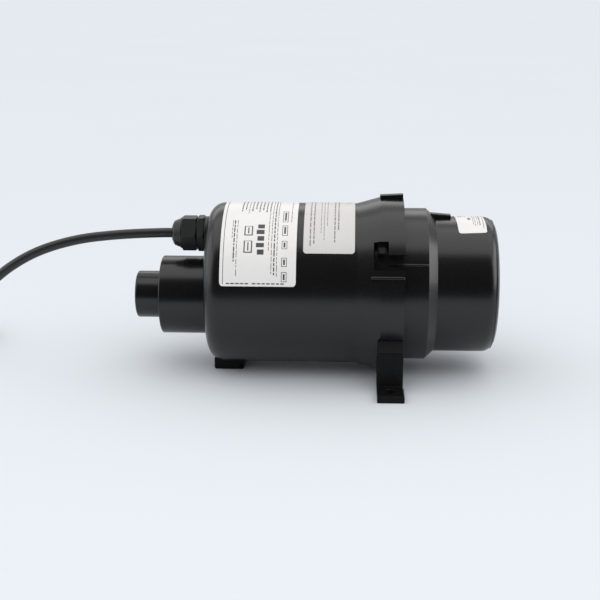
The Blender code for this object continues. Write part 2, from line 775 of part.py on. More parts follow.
def motor_shaft(finish):
    """The stepped shaft from the rear bearing to the fan nut."""
    thread, seat = 0.0050, 0.0040
    profile = [
        (0.0440, 0.0),
        (0.0440, thread - 0.0008),
        (0.0432, thread),
        (-GAP, thread),
        (-GAP, SHAFT_RADIUS),
        (-0.0838, SHAFT_RADIUS),
        (-0.0838, seat),
        (-0.0918, seat),
        (-0.0918, 0.0),
    ]
    return turned("motor_shaft", finish, profile, sides=INNER_SIDES)


def grooved_core(name, finish, x_range, radius, count, depth, width):
    """A core on the shaft with lengthwise grooves in its outside."""
    core = ring(name, finish, x_range, SHAFT_RADIUS + GAP, radius, sides=INNER_SIDES)
    margin = 0.001
    span = (x_range[0] - margin, x_range[1] + margin)
    for i in range(count):
        groove = f"{name}_groove_{i}"
        radii = (radius - depth, radius + margin)
        cut(core, radial_block(groove, finish, span, radii, 360 * i / count + 7.5, width))
    return core


def rotor(shaft_steel, core_steel, copper, plastic):
    """The turning parts: shaft, armature, commutator, impellers, spacers and nut."""
    motor_shaft(shaft_steel)
    grooved_core("armature_core", core_steel, CORE_X, ARMATURE_RADIUS, 12, 0.004, 0.0022)
    winding = 0.0205
    inner = SHAFT_RADIUS + GAP
    ring("armature_winding_rear", copper, (-0.0580, CORE_X[0] - GAP), inner, winding, sides=INNER_SIDES)
    ring("armature_winding_fan_side", copper, (CORE_X[1] + GAP, -0.0130), inner, winding, sides=INNER_SIDES)
    grooved_core("commutator", copper, COMMUTATOR_X, COMMUTATOR_RADIUS, 12, 0.0012, 0.0006)
    impeller("second_stage_impeller", plastic, 0.0048, 0.0210)
    impeller("first_stage_impeller", plastic, 0.0310, 0.0480)
    bore = SHAFT_RADIUS - 0.0010 + GAP
    ring("rear_fan_spacer", shaft_steel, (GAP, 0.0045), bore, 0.0085, sides=SMALL_SIDES)
    ring("middle_fan_spacer", shaft_steel, (0.0063, 0.0307), bore, 0.0085, sides=SMALL_SIDES)
    nut = hexagon("fan_nut", shaft_steel, (0.0325, 0.0385), 0.0150, AXIS_HEIGHT)
    cut(nut, rod("fan_nut_bore", shaft_steel, (0.0310, 0.0400), bore, sides=INNER_SIDES))


def stator(core_steel, copper):
    """The laminated stator with two poles, and a field coil round each pole's neck."""
    outer, inner = STATOR_RADIUS, STATOR_RADIUS - 0.005
    core = ring("stator_core", core_steel, CORE_X, inner, outer, sides=INNER_SIDES)
    for i, side in enumerate((-1, 1)):
        neck = sorted((AXIS_HEIGHT + side * 0.0290, AXIS_HEIGHT + side * 0.0450))
        low = (CORE_X[0], -0.0100, neck[0])
        join(core, box(f"pole_neck_{i}", core_steel, low, (CORE_X[1], 0.0100, neck[1])))
        shoe = sorted((AXIS_HEIGHT + side * 0.0170, AXIS_HEIGHT + side * 0.0305))
        low = (CORE_X[0], -0.0175, shoe[0])
        join(core, box(f"pole_shoe_{i}", core_steel, low, (CORE_X[1], 0.0175, shoe[1])))
    bore_x = (CORE_X[0] - 0.001, CORE_X[1] + 0.001)
    bore = rod("stator_bore", core_steel, bore_x, ARMATURE_RADIUS + 0.0006, sides=INNER_SIDES)
    cut(core, bore)
    for name, side in (("lower", -1), ("upper", 1)):
        levels = sorted((AXIS_HEIGHT + side * 0.0310, AXIS_HEIGHT + side * 0.0375))
        low = (CORE_X[0] - 0.0060, -0.0175, levels[0])
        high = (CORE_X[1] + 0.0050, 0.0175, levels[1])
        coil = soften(box(f"field_coil_{name}", copper, low, high), 0.0008, 1)
        low = (CORE_X[0] - GAP, -0.0103, levels[0] - 0.001)
        high = (CORE_X[1] + GAP, 0.0103, levels[1] + 0.001)
        cut(coil, box(f"field_coil_{name}_window", copper, low, high))


def brush_set(name, side, brass, carbon, spring_steel):
    """A brush tube through the bracket's skirt, with its carbon brush and coil spring."""
    tube_z = (0.0170, 0.0500)
    half, bore_x, bore_y = 0.0063, 0.0043, 0.0033
    levels = sorted(AXIS_HEIGHT + side * z for z in tube_z)
    low = (BRUSH_X - half, -half, levels[0])
    holder = box(f"brush_holder_{name}", brass, low, (BRUSH_X + half, half, levels[1]))
    levels = sorted(AXIS_HEIGHT + side * z for z in (tube_z[0] - 0.001, tube_z[1] - 0.0012))
    low = (BRUSH_X - bore_x, -bore_y, levels[0])
    high = (BRUSH_X + bore_x, bore_y, levels[1])
    cut(holder, box(f"brush_holder_{name}_bore", brass, low, high))
    levels = sorted(AXIS_HEIGHT + side * z for z in (COMMUTATOR_RADIUS + GAP, 0.0320))
    low = (BRUSH_X - bore_x + GAP, -bore_y + GAP, levels[0])
    high = (BRUSH_X + bore_x - GAP, bore_y - GAP, levels[1])
    box(f"carbon_brush_{name}", carbon, low, high)
    turns, points_a_turn, radius = 4, 9, 0.0022
    start, end = 0.0320 + 0.0009, tube_z[1] - 0.0012 - 0.0009
    wire = []
    for i in range(turns * points_a_turn + 1):
        angle = 2 * math.pi * i / points_a_turn
        level = AXIS_HEIGHT + side * (start + (end - start) * i / (turns * points_a_turn))
        wire.append((BRUSH_X + radius * math.cos(angle), radius * math.sin(angle), level))
    tube(f"brush_spring_{name}", spring_steel, wire, 0.0004)


def motor_mounts(rubber, foam):
    """The rubber rings that hold the fan shell, and the intake foam inside the cap."""
    outer = HOUSING_RADIUS - HOUSING_WALL - GAP
    shell = SHELL_RADIUS + GAP
    ledge = LEDGE_X + LEDGE_THICKNESS + GAP
    rear = [(0.0040, outer), (ledge, outer), (ledge, 0.0640), (-0.0043, 0.0640)]
    turned("rear_motor_ring", rubber, [*rear, (-0.0043, shell), (0.0040, shell)], sides=INNER_SIDES)
    front = [(SKIRT_END_X - GAP, 0.0660), (SKIRT_END_X - GAP, 0.0745), (SHELL_LENGTH, outer - 0.001)]
    front += [(FLARE_START_X, outer), (FLARE_START_X, shell), (SHELL_LENGTH + GAP, shell)]
    turned("front_motor_ring", rubber, [*front, (SHELL_LENGTH + GAP, 0.0660)], sides=INNER_SIDES)
    ring("intake_foam", foam, (0.0600, 0.0900), 0.0600, SKIRT_RADIUS - CAP_WALL - GAP, sides=INNER_SIDES)


def wiring(insulations, plastic, steel):
    """The three leads inside, the thermal cut-out and the earth screw."""
    gland = Vector((-0.1270, 0.0, GLAND_HEIGHT))
    live = [(-0.0990, 0.0, 0.1427), (-0.0955, 0.0060, 0.1385), (-0.0945, 0.0150, 0.1300)]
    live += [(-0.0940, 0.0190, 0.1245)]
    neutral = [(-0.0990, -0.0024, 0.1386), (-0.0960, -0.0160, 0.1290), (-0.0955, -0.0360, 0.1000)]
    neutral += [(-0.0950, -0.0320, 0.0600), (-0.0920, -0.0180, 0.0395), (-0.0760, -0.0040, 0.0375)]
    earth = [(-0.0990, 0.0024, 0.1386), (-0.0965, 0.0060, 0.1280), (-0.0962, 0.0060, 0.1000)]
    earth += [(-0.0955, 0.0030, 0.0750), (-0.0900, 0.0, 0.0670)]
    leads = (
        ("live_lead", (0.0, 0.0, 0.0027), live),
        ("neutral_lead", (0.0, -0.0024, -0.0014), neutral),
        ("earth_lead", (0.0, 0.0024, -0.0014), earth),
    )
    for (name, offset, points), insulation in zip(leads, insulations):
        tube(name, insulation, smooth_route([gland + Vector(offset), *points], 0.006), 0.0011)
    low = (-0.0965, 0.0130, 0.1140)
    box("thermal_cutout", plastic, low, (-0.0890, 0.0250, 0.1230))
    profile = [(-0.0800, 0.0), (-0.0800, 0.0017), (-0.0853, 0.0017), (-0.0853, 0.0034)]
    profile += [(-0.0876, 0.0034), (-0.0876, 0.0)]
    turned("earth_screw", steel, profile, height=0.0670, sides=SMALL_SIDES)


def centre_on_origin():
    """Hangs every piece on one empty that brings the middle of the blower's length over the origin."""
    base = bpy.data.objects.new("blower_base", None)
    base.location.x = -(OUTLET_TIP_X + CAP_END_X) / 2
    for obj in [*PARTS.objects, *TOOLS.objects]:
        obj.parent = base
    PARTS.objects.link(base)


def main():
    shell_black = finish_of("black_moulded_plastic", (0.022, 0.022, 0.023), 0.32)
    foot_black = finish_of("black_foot_plastic", (0.012, 0.012, 0.013), 0.50)
    nylon = finish_of("dark_nylon", (0.020, 0.023, 0.022), 0.45)
    paper = finish_of("label_film", (0.72, 0.72, 0.72), 0.40)
    grey_paper = finish_of("grey_label_film", (0.50, 0.50, 0.51), 0.40)
    pvc = finish_of("cord_pvc", (0.018, 0.018, 0.019), 0.42)
    rubber = finish_of("black_rubber", (0.030, 0.030, 0.030), 0.75)
    foam = finish_of("grey_filter_foam", (0.100, 0.100, 0.105), 0.95)
    strap = finish_of("tie_strap", (0.025, 0.025, 0.025), 0.85)
    steel = finish_of("bright_steel", (0.55, 0.55, 0.56), 0.30, 1.0)
    zinc = finish_of("zinc_plated_steel", (0.60, 0.60, 0.58), 0.38, 1.0)
    lamination = finish_of("lamination_steel", (0.20, 0.20, 0.21), 0.50, 1.0)
    copper = finish_of("enamelled_copper", (0.48, 0.18, 0.06), 0.35, 1.0)
    brass = finish_of("brass", (0.62, 0.44, 0.16), 0.35, 1.0)
    aluminium = finish_of("cast_aluminium", (0.60, 0.61, 0.62), 0.45, 1.0)
    carbon = finish_of("carbon", (0.020, 0.020, 0.022), 0.60)
    brown = finish_of("brown_insulation", (0.13, 0.04, 0.015), 0.45)
    blue = finish_of("blue_insulation", (0.02, 0.08, 0.35), 0.45)
    green = finish_of("green_insulation", (0.05, 0.28, 0.05), 0.45)

    main_housing(shell_black)
    outlet_spigot(shell_black)
    end_cap(shell_black)
    label("rating_label", paper, HOUSING_RADIUS, (-0.0943, -0.0199), (12, 108), 0.003)
    label("caution_label", grey_paper, HOUSING_RADIUS, (-0.0133, 0.0369), (36, 108), 0.003)
    label("cap_label", paper, CAP_RADIUS, (0.1380, 0.1664), (62, 118), 0.003)
    mounting_leg("mounting_leg_front", foot_black, -1)
    mounting_leg("mounting_leg_back", foot_black, 1)
    outlet_end_foot(foot_black)
    cord_gland(nylon, rubber)
    power_cord(pvc, strap, brass)
    motor_mounts(rubber, foam)
    fan_shell(zinc)
    fan_bracket(aluminium)
    stage_divider(aluminium)
    rotor(steel, lamination, copper, aluminium)
    bearings(steel)
    stator(lamination, copper)
    brush_bracket(aluminium)
    through_bolts(zinc)
    brush_set("upper", 1, brass, carbon, steel)
    brush_set("lower", -1, brass, carbon, steel)
    wiring((brown, blue, green), foot_black, zinc)
    centre_on_origin()


clear_scene()
PARTS = new_collection("air_blower")
TOOLS = new_collection("blower_cutters")
TOOLS.hide_render = True
main()
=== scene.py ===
"""Looks of a canister air blower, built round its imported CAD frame. Metres, +Z up, axis along X.

The file is laid out as an add-on: sizes and colours are in property groups, each operator makes
one piece or a group of like pieces, and main() calls them in order.
"""

import math
import random

import bpy
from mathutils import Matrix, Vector


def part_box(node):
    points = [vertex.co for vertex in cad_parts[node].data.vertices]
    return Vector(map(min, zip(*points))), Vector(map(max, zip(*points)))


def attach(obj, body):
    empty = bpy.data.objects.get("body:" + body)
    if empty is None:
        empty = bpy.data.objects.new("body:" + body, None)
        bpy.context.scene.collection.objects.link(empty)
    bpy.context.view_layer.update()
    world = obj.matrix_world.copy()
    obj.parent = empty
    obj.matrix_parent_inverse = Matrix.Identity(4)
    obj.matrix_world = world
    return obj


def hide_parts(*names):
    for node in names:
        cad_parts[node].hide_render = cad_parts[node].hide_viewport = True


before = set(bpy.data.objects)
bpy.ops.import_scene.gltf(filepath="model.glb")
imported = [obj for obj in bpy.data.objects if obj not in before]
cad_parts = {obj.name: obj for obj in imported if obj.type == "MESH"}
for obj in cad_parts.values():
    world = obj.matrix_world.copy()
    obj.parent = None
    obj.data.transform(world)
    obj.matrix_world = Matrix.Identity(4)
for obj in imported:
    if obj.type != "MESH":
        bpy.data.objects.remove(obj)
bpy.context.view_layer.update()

bl_info = {
    "name": "Canister Air Blower",
    "version": (1, 0, 0),
    "blender": (4, 5, 0),
    "location": "View3D > Sidebar > Blower",
    "description": "Models and finishes a canister air blower round its CAD frame",
    "category": "Object",
}

AXIS_HEIGHT = 0.0890
# Degrees of one bayonet slot to the next, and where the 1 degree grid of the housing starts,
# so that the slots' edges fall on it
BAYONET_STEP = 120
HOUSING_GRID_START = 0.9
LABEL_CORNER = 0.0030
# Clearance between pieces that rest against each other
GAP = 0.0003
# Middle line of the cord down to its coil, and from the coil to the connector
CORD_ROUTE = (
    (-0.1459, 0.0, 0.1400),
    (-0.1576, 0.0, 0.1399),
    (-0.1856, 0.0, 0.1386),
    (-0.2106, 0.0, 0.1366),
    (-0.2356, 0.0, 0.1335),
    (-0.2586, 0.0, 0.1285),
    (-0.2806, 0.0, 0.1215),
    (-0.2996, 0.0, 0.1129),
    (-0.3176, 0.0, 0.1020),
    (-0.3316, 0.0, 0.0913),
    (-0.3456, 0.0, 0.0795),
    (-0.3576, 0.0, 0.0682),
    (-0.3686, 0.0, 0.0575),
    (-0.3786, 0.0, 0.0487),
    (-0.3876, 0.0, 0.0420),
    (-0.3966, 0.0, 0.0362),
    (-0.4076, 0.0, 0.0312),
    (-0.4206, 0.0, 0.0283),
)
TAIL_ROUTE = (
    (-0.4556, 0.0007, 0.0066),
    (-0.4731, 0.0, 0.0066),
    (-0.4856, 0.0, 0.0070),
    (-0.4976, 0.0, 0.0093),
    (-0.5076, 0.0, 0.0104),
    (-0.5156, 0.0, 0.0104),
)
COIL_CENTRE = (-0.4356, 0.060)
COIL_RADIUS = 0.060
COIL_LEVELS = (0.0272, 0.0066)
COIL_TURNS = 2


# ---------------------------------------------------------------- tools of the bench


def select_only(obj):
    """Leaves one object selected and active, in object mode."""
    if bpy.context.object and bpy.context.object.mode != "OBJECT":
        bpy.ops.object.mode_set(mode="OBJECT")
    bpy.ops.object.select_all(action="DESELECT")
    if obj:
        obj.select_set(True)
        bpy.context.view_layer.objects.active = obj


def settle(obj, name=None):
    """Puts an object's place, turn and size into its mesh."""
    select_only(obj)
    bpy.ops.object.transform_apply(location=True, rotation=True, scale=True)
    if name:
        obj.name = name
        obj.data.name = name
    return obj


def chain(name, points):
    """A row of edges through points, drawn from a plane merged to one corner and extruded on."""
    select_only(None)
    bpy.ops.mesh.primitive_plane_add(size=0.001, location=points[0])
    bpy.ops.object.mode_set(mode="EDIT")
    bpy.ops.mesh.select_mode(type="VERT")
    bpy.ops.mesh.merge(type="CENTER")
    for a, b in zip(points, points[1:]):
        step = tuple(q - p for p, q in zip(a, b))
        bpy.ops.mesh.extrude_vertices_move(TRANSFORM_OT_translate={"value": step})
    bpy.ops.mesh.select_all(action="SELECT")
    bpy.ops.object.mode_set(mode="OBJECT")
    return settle(bpy.context.object, name)


def spun(name, profile, height=AXIS_HEIGHT, steps=180, start=0.0, span=360.0):
    """Spins (x, radius) points about an axis along X, from an angle above the front horizontal."""
    a = math.radians(start)
    points = [(x, -r * math.cos(a), height + r * math.sin(a)) for x, r in profile]
    obj = chain(name, points)
    bpy.ops.object.mode_set(mode="EDIT")
    bpy.ops.mesh.select_all(action="SELECT")
    turn, centre = math.radians(span), (0.0, 0.0, height)
    bpy.ops.mesh.spin(steps=steps, dupli=False, angle=turn, center=centre, axis=(1.0, 0.0, 0.0))
    close_seams()
    return obj


def pick(obj, kind, test):
    """Goes into edit mode with only the faces or edges selected that pass a test."""
    select_only(obj)
    bpy.ops.object.mode_set(mode="EDIT")
    bpy.ops.mesh.select_mode(type=kind)
    bpy.ops.mesh.select_all(action="DESELECT")
    bpy.ops.object.mode_set(mode="OBJECT")
    for item in obj.data.polygons if kind == "FACE" else obj.data.edges:
        item.select = test(item)
    bpy.ops.object.mode_set(mode="EDIT")


def close_seams():
    """Merges doubled corners and turns the faces outwards, from edit mode back to object mode."""
    bpy.ops.mesh.select_all(action="SELECT")
    bpy.ops.mesh.remove_doubles(threshold=0.00001)
    bpy.ops.mesh.normals_make_consistent(inside=False)
    bpy.ops.object.mode_set(mode="OBJECT")


def rounded(points, radii, steps=4, hold=0.0004):
    """Rounds the corners of a profile, with a point held close by each side of every corner."""
    out = [points[0]]
    for i in range(1, len(points) - 1):
        size = radii.get(i, 0.0)
        corner = Vector(points[i])
        if not size:
            out.append(tuple(corner))
            continue
        back = (Vector(points[i - 1]) - corner).normalized()
        on = (Vector(points[i + 1]) - corner).normalized()
        half = back.angle(on) / 2
        reach = size / math.tan(half)
        centre = corner + (back + on).normalized() * (size / math.sin(half))
        first, last = corner + back * reach, corner + on * reach
        out.append(tuple(first + back * hold))
        swing = (first - centre).angle_signed(last - centre)
        for k in range(steps + 1):
            arm = (first - centre).copy()
            turn = -swing * k / steps
            out.append(
                (
                    centre.x + arm.x * math.cos(turn) - arm.y * math.sin(turn),
                    centre.y + arm.x * math.sin(turn) + arm.y * math.cos(turn),
                )
            )
        out.append(tuple(last + on * hold))
    out.append(points[-1])
    return out


def block(name, low, high):
    """A box between two corners."""
    select_only(None)
    middle = [(a + b) / 2 for a, b in zip(low, high)]
    bpy.ops.mesh.primitive_cube_add(size=1.0, location=middle)
    obj = bpy.context.object
    obj.scale = [b - a for a, b in zip(low, high)]
    return settle(obj, name)


def radial_block(name, x_range, r_range, angle, width, slope=0.0):
    """A box on the blower's side, its top away from the axis. A slope lowers one end's top edge."""
    top = AXIS_HEIGHT + r_range[1]
    low = (x_range[0], -width / 2, AXIS_HEIGHT + r_range[0])
    obj = block(name, low, (x_range[1], width / 2, top))
    middle = sum(x_range) / 2
    for corner in obj.data.vertices:
        if corner.co.z > top - 0.0001 and (corner.co.x - middle) * slope < 0:
            corner.co.z -= abs(slope)
    return turn_round(obj, angle - 90)


def turn_round(obj, degrees):
    """Turns a piece about the blower's axis, away from the front horizontal over the top."""
    select_only(obj)
    turn, centre = math.radians(degrees), (0.0, 0.0, AXIS_HEIGHT)
    bpy.ops.transform.rotate(value=turn, orient_axis="X", center_override=centre)
    return settle(obj)


def prism(name, points, depth):
    """A flat outline of 3-D points, filled and pulled out along a vector."""
    obj = chain(name, [*points, points[0]])
    bpy.ops.object.mode_set(mode="EDIT")
    bpy.ops.mesh.select_all(action="SELECT")
    bpy.ops.mesh.remove_doubles(threshold=0.00001)
    bpy.ops.mesh.edge_face_add()
    bpy.ops.mesh.extrude_region_move(TRANSFORM_OT_translate={"value": depth})
    close_seams()
    return obj


def apply(obj, kind, **settings):
    """Adds a modifier with its settings and applies it."""
    select_only(obj)
    step = obj.modifiers.new(kind.title(), kind)
    for key, value in settings.items():
        setattr(step, key, value)
    bpy.ops.object.modifier_apply(modifier=step.name)
    return obj


def combine(obj, tool, operation="DIFFERENCE"):
    """Cuts with, joins on or keeps only the inside of another shape, which is used up."""
    apply(obj, "BOOLEAN", object=tool, operation=operation, solver="EXACT")
    bpy.data.objects.remove(tool, do_unlink=True)
    return obj


def ease(obj, width, segments=2, angle=35):
    """Rounds a piece's crisp edges and shades the rest smooth."""
    smooth(obj, angle)
    return apply(
        obj,
        "BEVEL",
        width=width,
        segments=segments,
        limit_method="ANGLE",
        angle_limit=math.radians(angle),
        harden_normals=True,
        miter_outer="MITER_ARC",
    )


def smooth(obj, angle=30):
    """Shades a piece smooth but for its crisp edges."""
    select_only(obj)
    bpy.ops.object.shade_smooth_by_angle(angle=math.radians(angle))
    return obj


def merge_pieces(obj, others):
    """Makes one object of a piece and the small features that sit in its skin."""
    select_only(obj)
    for other in others:
        other.select_set(True)
    bpy.context.view_layer.objects.active = obj
    bpy.ops.object.join()
    return obj


def hexagon(name, x_range, flats, height, chamfer):
    """A hexagonal bar along X with the corners of its ends turned off."""
    select_only(None)
    low, high = x_range
    middle, length = (low + high) / 2, high - low
    corner, place = flats / math.sqrt(3), (middle, 0.0, height)
    bpy.ops.mesh.primitive_cylinder_add(vertices=6, radius=corner, depth=length, location=place)
    bar = bpy.context.object
    bar.rotation_euler = (0.0, math.pi / 2, 0.0)
    settle(bar, name)
    bite = corner - flats / 2
    past, face, clear = 0.001, flats / 2 - bite * 0.3 - 0.0003, corner + 0.0002
    profile = [
        (low - past, 0.0),
        (low - past, face),
        (low + chamfer, clear),
        (high - chamfer, clear),
        (high + past, face),
        (high + past, 0.0),
    ]
    lathe = spun(name + "_lathe", profile, height, 96)
    return combine(bar, lathe, "INTERSECT")


def round_corners(stamp, corner):
    """Bevels the four upright edges of a box."""

    def upright(edge):
        a, b = (stamp.data.vertices[i].co for i in edge.vertices)
        return abs(a.z - b.z) > 0.5 * stamp.dimensions.z

    pick(stamp, "EDGE", upright)
    bpy.ops.mesh.bevel(offset=corner, segments=6, affect="EDGES")
    bpy.ops.object.mode_set(mode="OBJECT")


def finish_piece(obj, body, slot, *nodes):
    """Rides a piece on its body and hides the CAD nodes that it stands for. Its slot is not used."""
    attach(obj, body)
    if nodes:
        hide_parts(*nodes)
    return obj


# ---------------------------------------------------------------- materials


def linear(code, alpha=1.0):
    """An sRGB hex colour as linear numbers."""
    channels = [int(code[i : i + 2], 16) / 255 for i in (0, 2, 4)]
    return (*[c / 12.92 if c <= 0.04045 else ((c + 0.055) / 1.055) ** 2.4 for c in channels], alpha)


def per_mm(size):
    """The scale of a texture whose features are this many millimetres apart."""
    return 1000.0 / size


def add_node(tree, kind, settings, links):
    """Adds a node, sets it up, and gives each of its inputs a number or another node's output."""
    made = tree.nodes.new(kind)
    for key, value in settings.items():
        setattr(made, key, value)
    for key, value in links.items():
        if isinstance(value, bpy.types.NodeSocket):
            tree.links.new(value, made.inputs[key])
        else:
            made.inputs[key].default_value = value
    return made


def start_material(name, **numbers):
    """A material with its shader, the shader's even values set on its own sockets."""
    material = bpy.data.materials.new(name)
    material.use_nodes = True
    tree = material.node_tree
    shader = tree.nodes["Principled BSDF"]
    for key, value in numbers.items():
        shader.inputs[key.replace("_", " ")].default_value = value
    place = add_node(tree, "ShaderNodeTexCoord", {}, {})
    return material, tree, shader, place.outputs["Object"]


def dress(name, colours, rough, grain_mm, depth_mm, drift_mm=35.0, stretch=(1, 1, 1), **numbers):
    """A finish whose colour drifts between two tones and whose grain sets its gloss and its bumps."""
    material, tree, shader, place = start_material(name, **numbers)
    spread = add_node(tree, "ShaderNodeMapping", {}, {"Vector": place, "Scale": stretch})
    fine = {"Vector": spread.outputs["Vector"], "Scale": per_mm(grain_mm), "Detail": 3.0}
    grain = add_node(tree, "ShaderNodeTexNoise", {}, fine)
    broad = {"Vector": place, "Scale": per_mm(drift_mm), "Detail": 2.0}
    drift = add_node(tree, "ShaderNodeTexNoise", {}, broad)
    tone = add_node(
        tree,
        "ShaderNodeMix",
        {"data_type": "RGBA"},
        {0: drift.outputs["Fac"], 6: linear(colours[0]), 7: linear(colours[1])},
    )
    gloss = add_node(
        tree,
        "ShaderNodeMapRange",
        {},
        {"Value": grain.outputs["Fac"], "To Min": rough[0], "To Max": rough[1]},
    )
    bump = add_node(
        tree,
        "ShaderNodeBump",
        {},
        {"Height": grain.outputs["Fac"], "Distance": depth_mm / 1000.0, "Strength": 1.0},
    )
    tree.links.new(tone.outputs[2], shader.inputs["Base Color"])
    tree.links.new(gloss.outputs["Result"], shader.inputs["Roughness"])
    tree.links.new(bump.outputs["Normal"], shader.inputs["Normal"])
    return material


def moulded_black(name="moulded_black_abs"):
    """Injection-moulded ABS: near black, satin, with a fine grain that breaks up its highlights."""
    return dress(name, ("101011", "141415"), (0.22, 0.30), 1.1, 0.012, IOR=1.5)


def foot_black():
    """Moulded polypropylene: a softer, duller black with a coarser grain."""
    look = (("0c0c0d", "111112"), (0.40, 0.52), 0.9, 0.02)
    return dress("moulded_black_polypropylene", *look, Specular_IOR_Level=0.15)


def gland_nylon():
    """Moulded nylon: a faint green-grey in the black, waxy and slightly uneven."""
    return dress("moulded_dark_nylon", ("161918", "1c1f1e"), (0.34, 0.46), 0.8, 0.02, 12.0)


def cord_pvc():
    """Extruded PVC sheath: dark grey with a soft satin gloss and a faint lengthwise ripple."""
    return dress("extruded_grey_black_pvc", ("1a1b1c", "212223"), (0.36, 0.46), 1.4, 0.03, 20.0)


def label_film(name, colours):
    """Printed polyester film: a smooth pale skin with a slight gloss drift."""
    return dress(name, colours, (0.34, 0.42), 2.5, 0.006, 18.0)


def label_ink(name, colours):
    """Screen-printed ink: flat grey, a little duller than the film under it."""
    return dress(name, colours, (0.45, 0.55), 0.9, 0.006, 9.0)


# ---------------------------------------------------------------- settings


def colour_setting(name, description, code):
    """A colour property that starts from an sRGB hex value."""
    return bpy.props.FloatVectorProperty(
        name=name, description=description, subtype="COLOR", size=4, default=linear(code), min=0, max=1
    )


def length_setting(name, description, metres):
    """A length property in metres."""
    return bpy.props.FloatProperty(
        name=name, description=description, subtype="DISTANCE", unit="LENGTH", default=metres, min=0
    )


def power_setting(name, description, watts):
    """A light's power in watts."""
    return bpy.props.FloatProperty(name=name, description=description, default=watts)


class BlowerSizes(bpy.types.PropertyGroup):
    """Sizes of the housing, the cap and the outlet."""

    housing_radius: length_setting("Housing radius", "Radius of the main tube", 0.0820)
    housing_wall: length_setting("Wall", "Thickness of the moulded walls", 0.0030)
    end_round: length_setting("End round", "Radius of the outlet end's corner", 0.0165)
    flange_radius: length_setting("Flange radius", "Radius of the intake end", 0.0886)
    skirt_radius: length_setting("Skirt radius", "Radius of the cap inside the flange", 0.0775)
    cap_radius: length_setting("Cap radius", "Radius of the cap's end", 0.0691)
    cap_round: length_setting("Cap round", "Radius of the cap's end corner", 0.0120)
    collar_radius: length_setting("Collar radius", "Radius of the outlet collar", 0.0402)
    outlet_radius: length_setting("Outlet radius", "Outside radius of the pipe spigot", 0.02415)
    outlet_bore: length_setting("Outlet bore", "Inside radius of the pipe spigot", 0.0204)
    outlet_height: length_setting("Outlet height", "Height of the outlet's axis", 0.0747)
    gland_height: length_setting("Gland height", "Height of the cord gland's axis", 0.1400)
    cord_radius: length_setting("Cord radius", "Radius of the power cord", 0.0050)
    edge: length_setting("Edge round", "Radius of a crisp moulded edge", 0.0010)


class BlowerLight(bpy.types.PropertyGroup):
    """The studio's colours and brightness."""

    sky: colour_setting("Surround", "Colour of the studio's pale surround", "f4f4f4")
    ceiling: bpy.props.FloatProperty(
        name="Ceiling", description="Strength of the even light from above", default=1.45
    )
    key: power_setting("Key", "Watts of the overhead light", 18.0)
    rim: power_setting("Rim", "Watts of the light behind", 10.0)
    front: power_setting("Front", "Watts of the front light", 4.0)
    wing: power_setting("Wing", "Watts of the outlet side light", 8.0)
    cap_wing: power_setting("Cap wing", "Watts of the cap side light", 17.0)


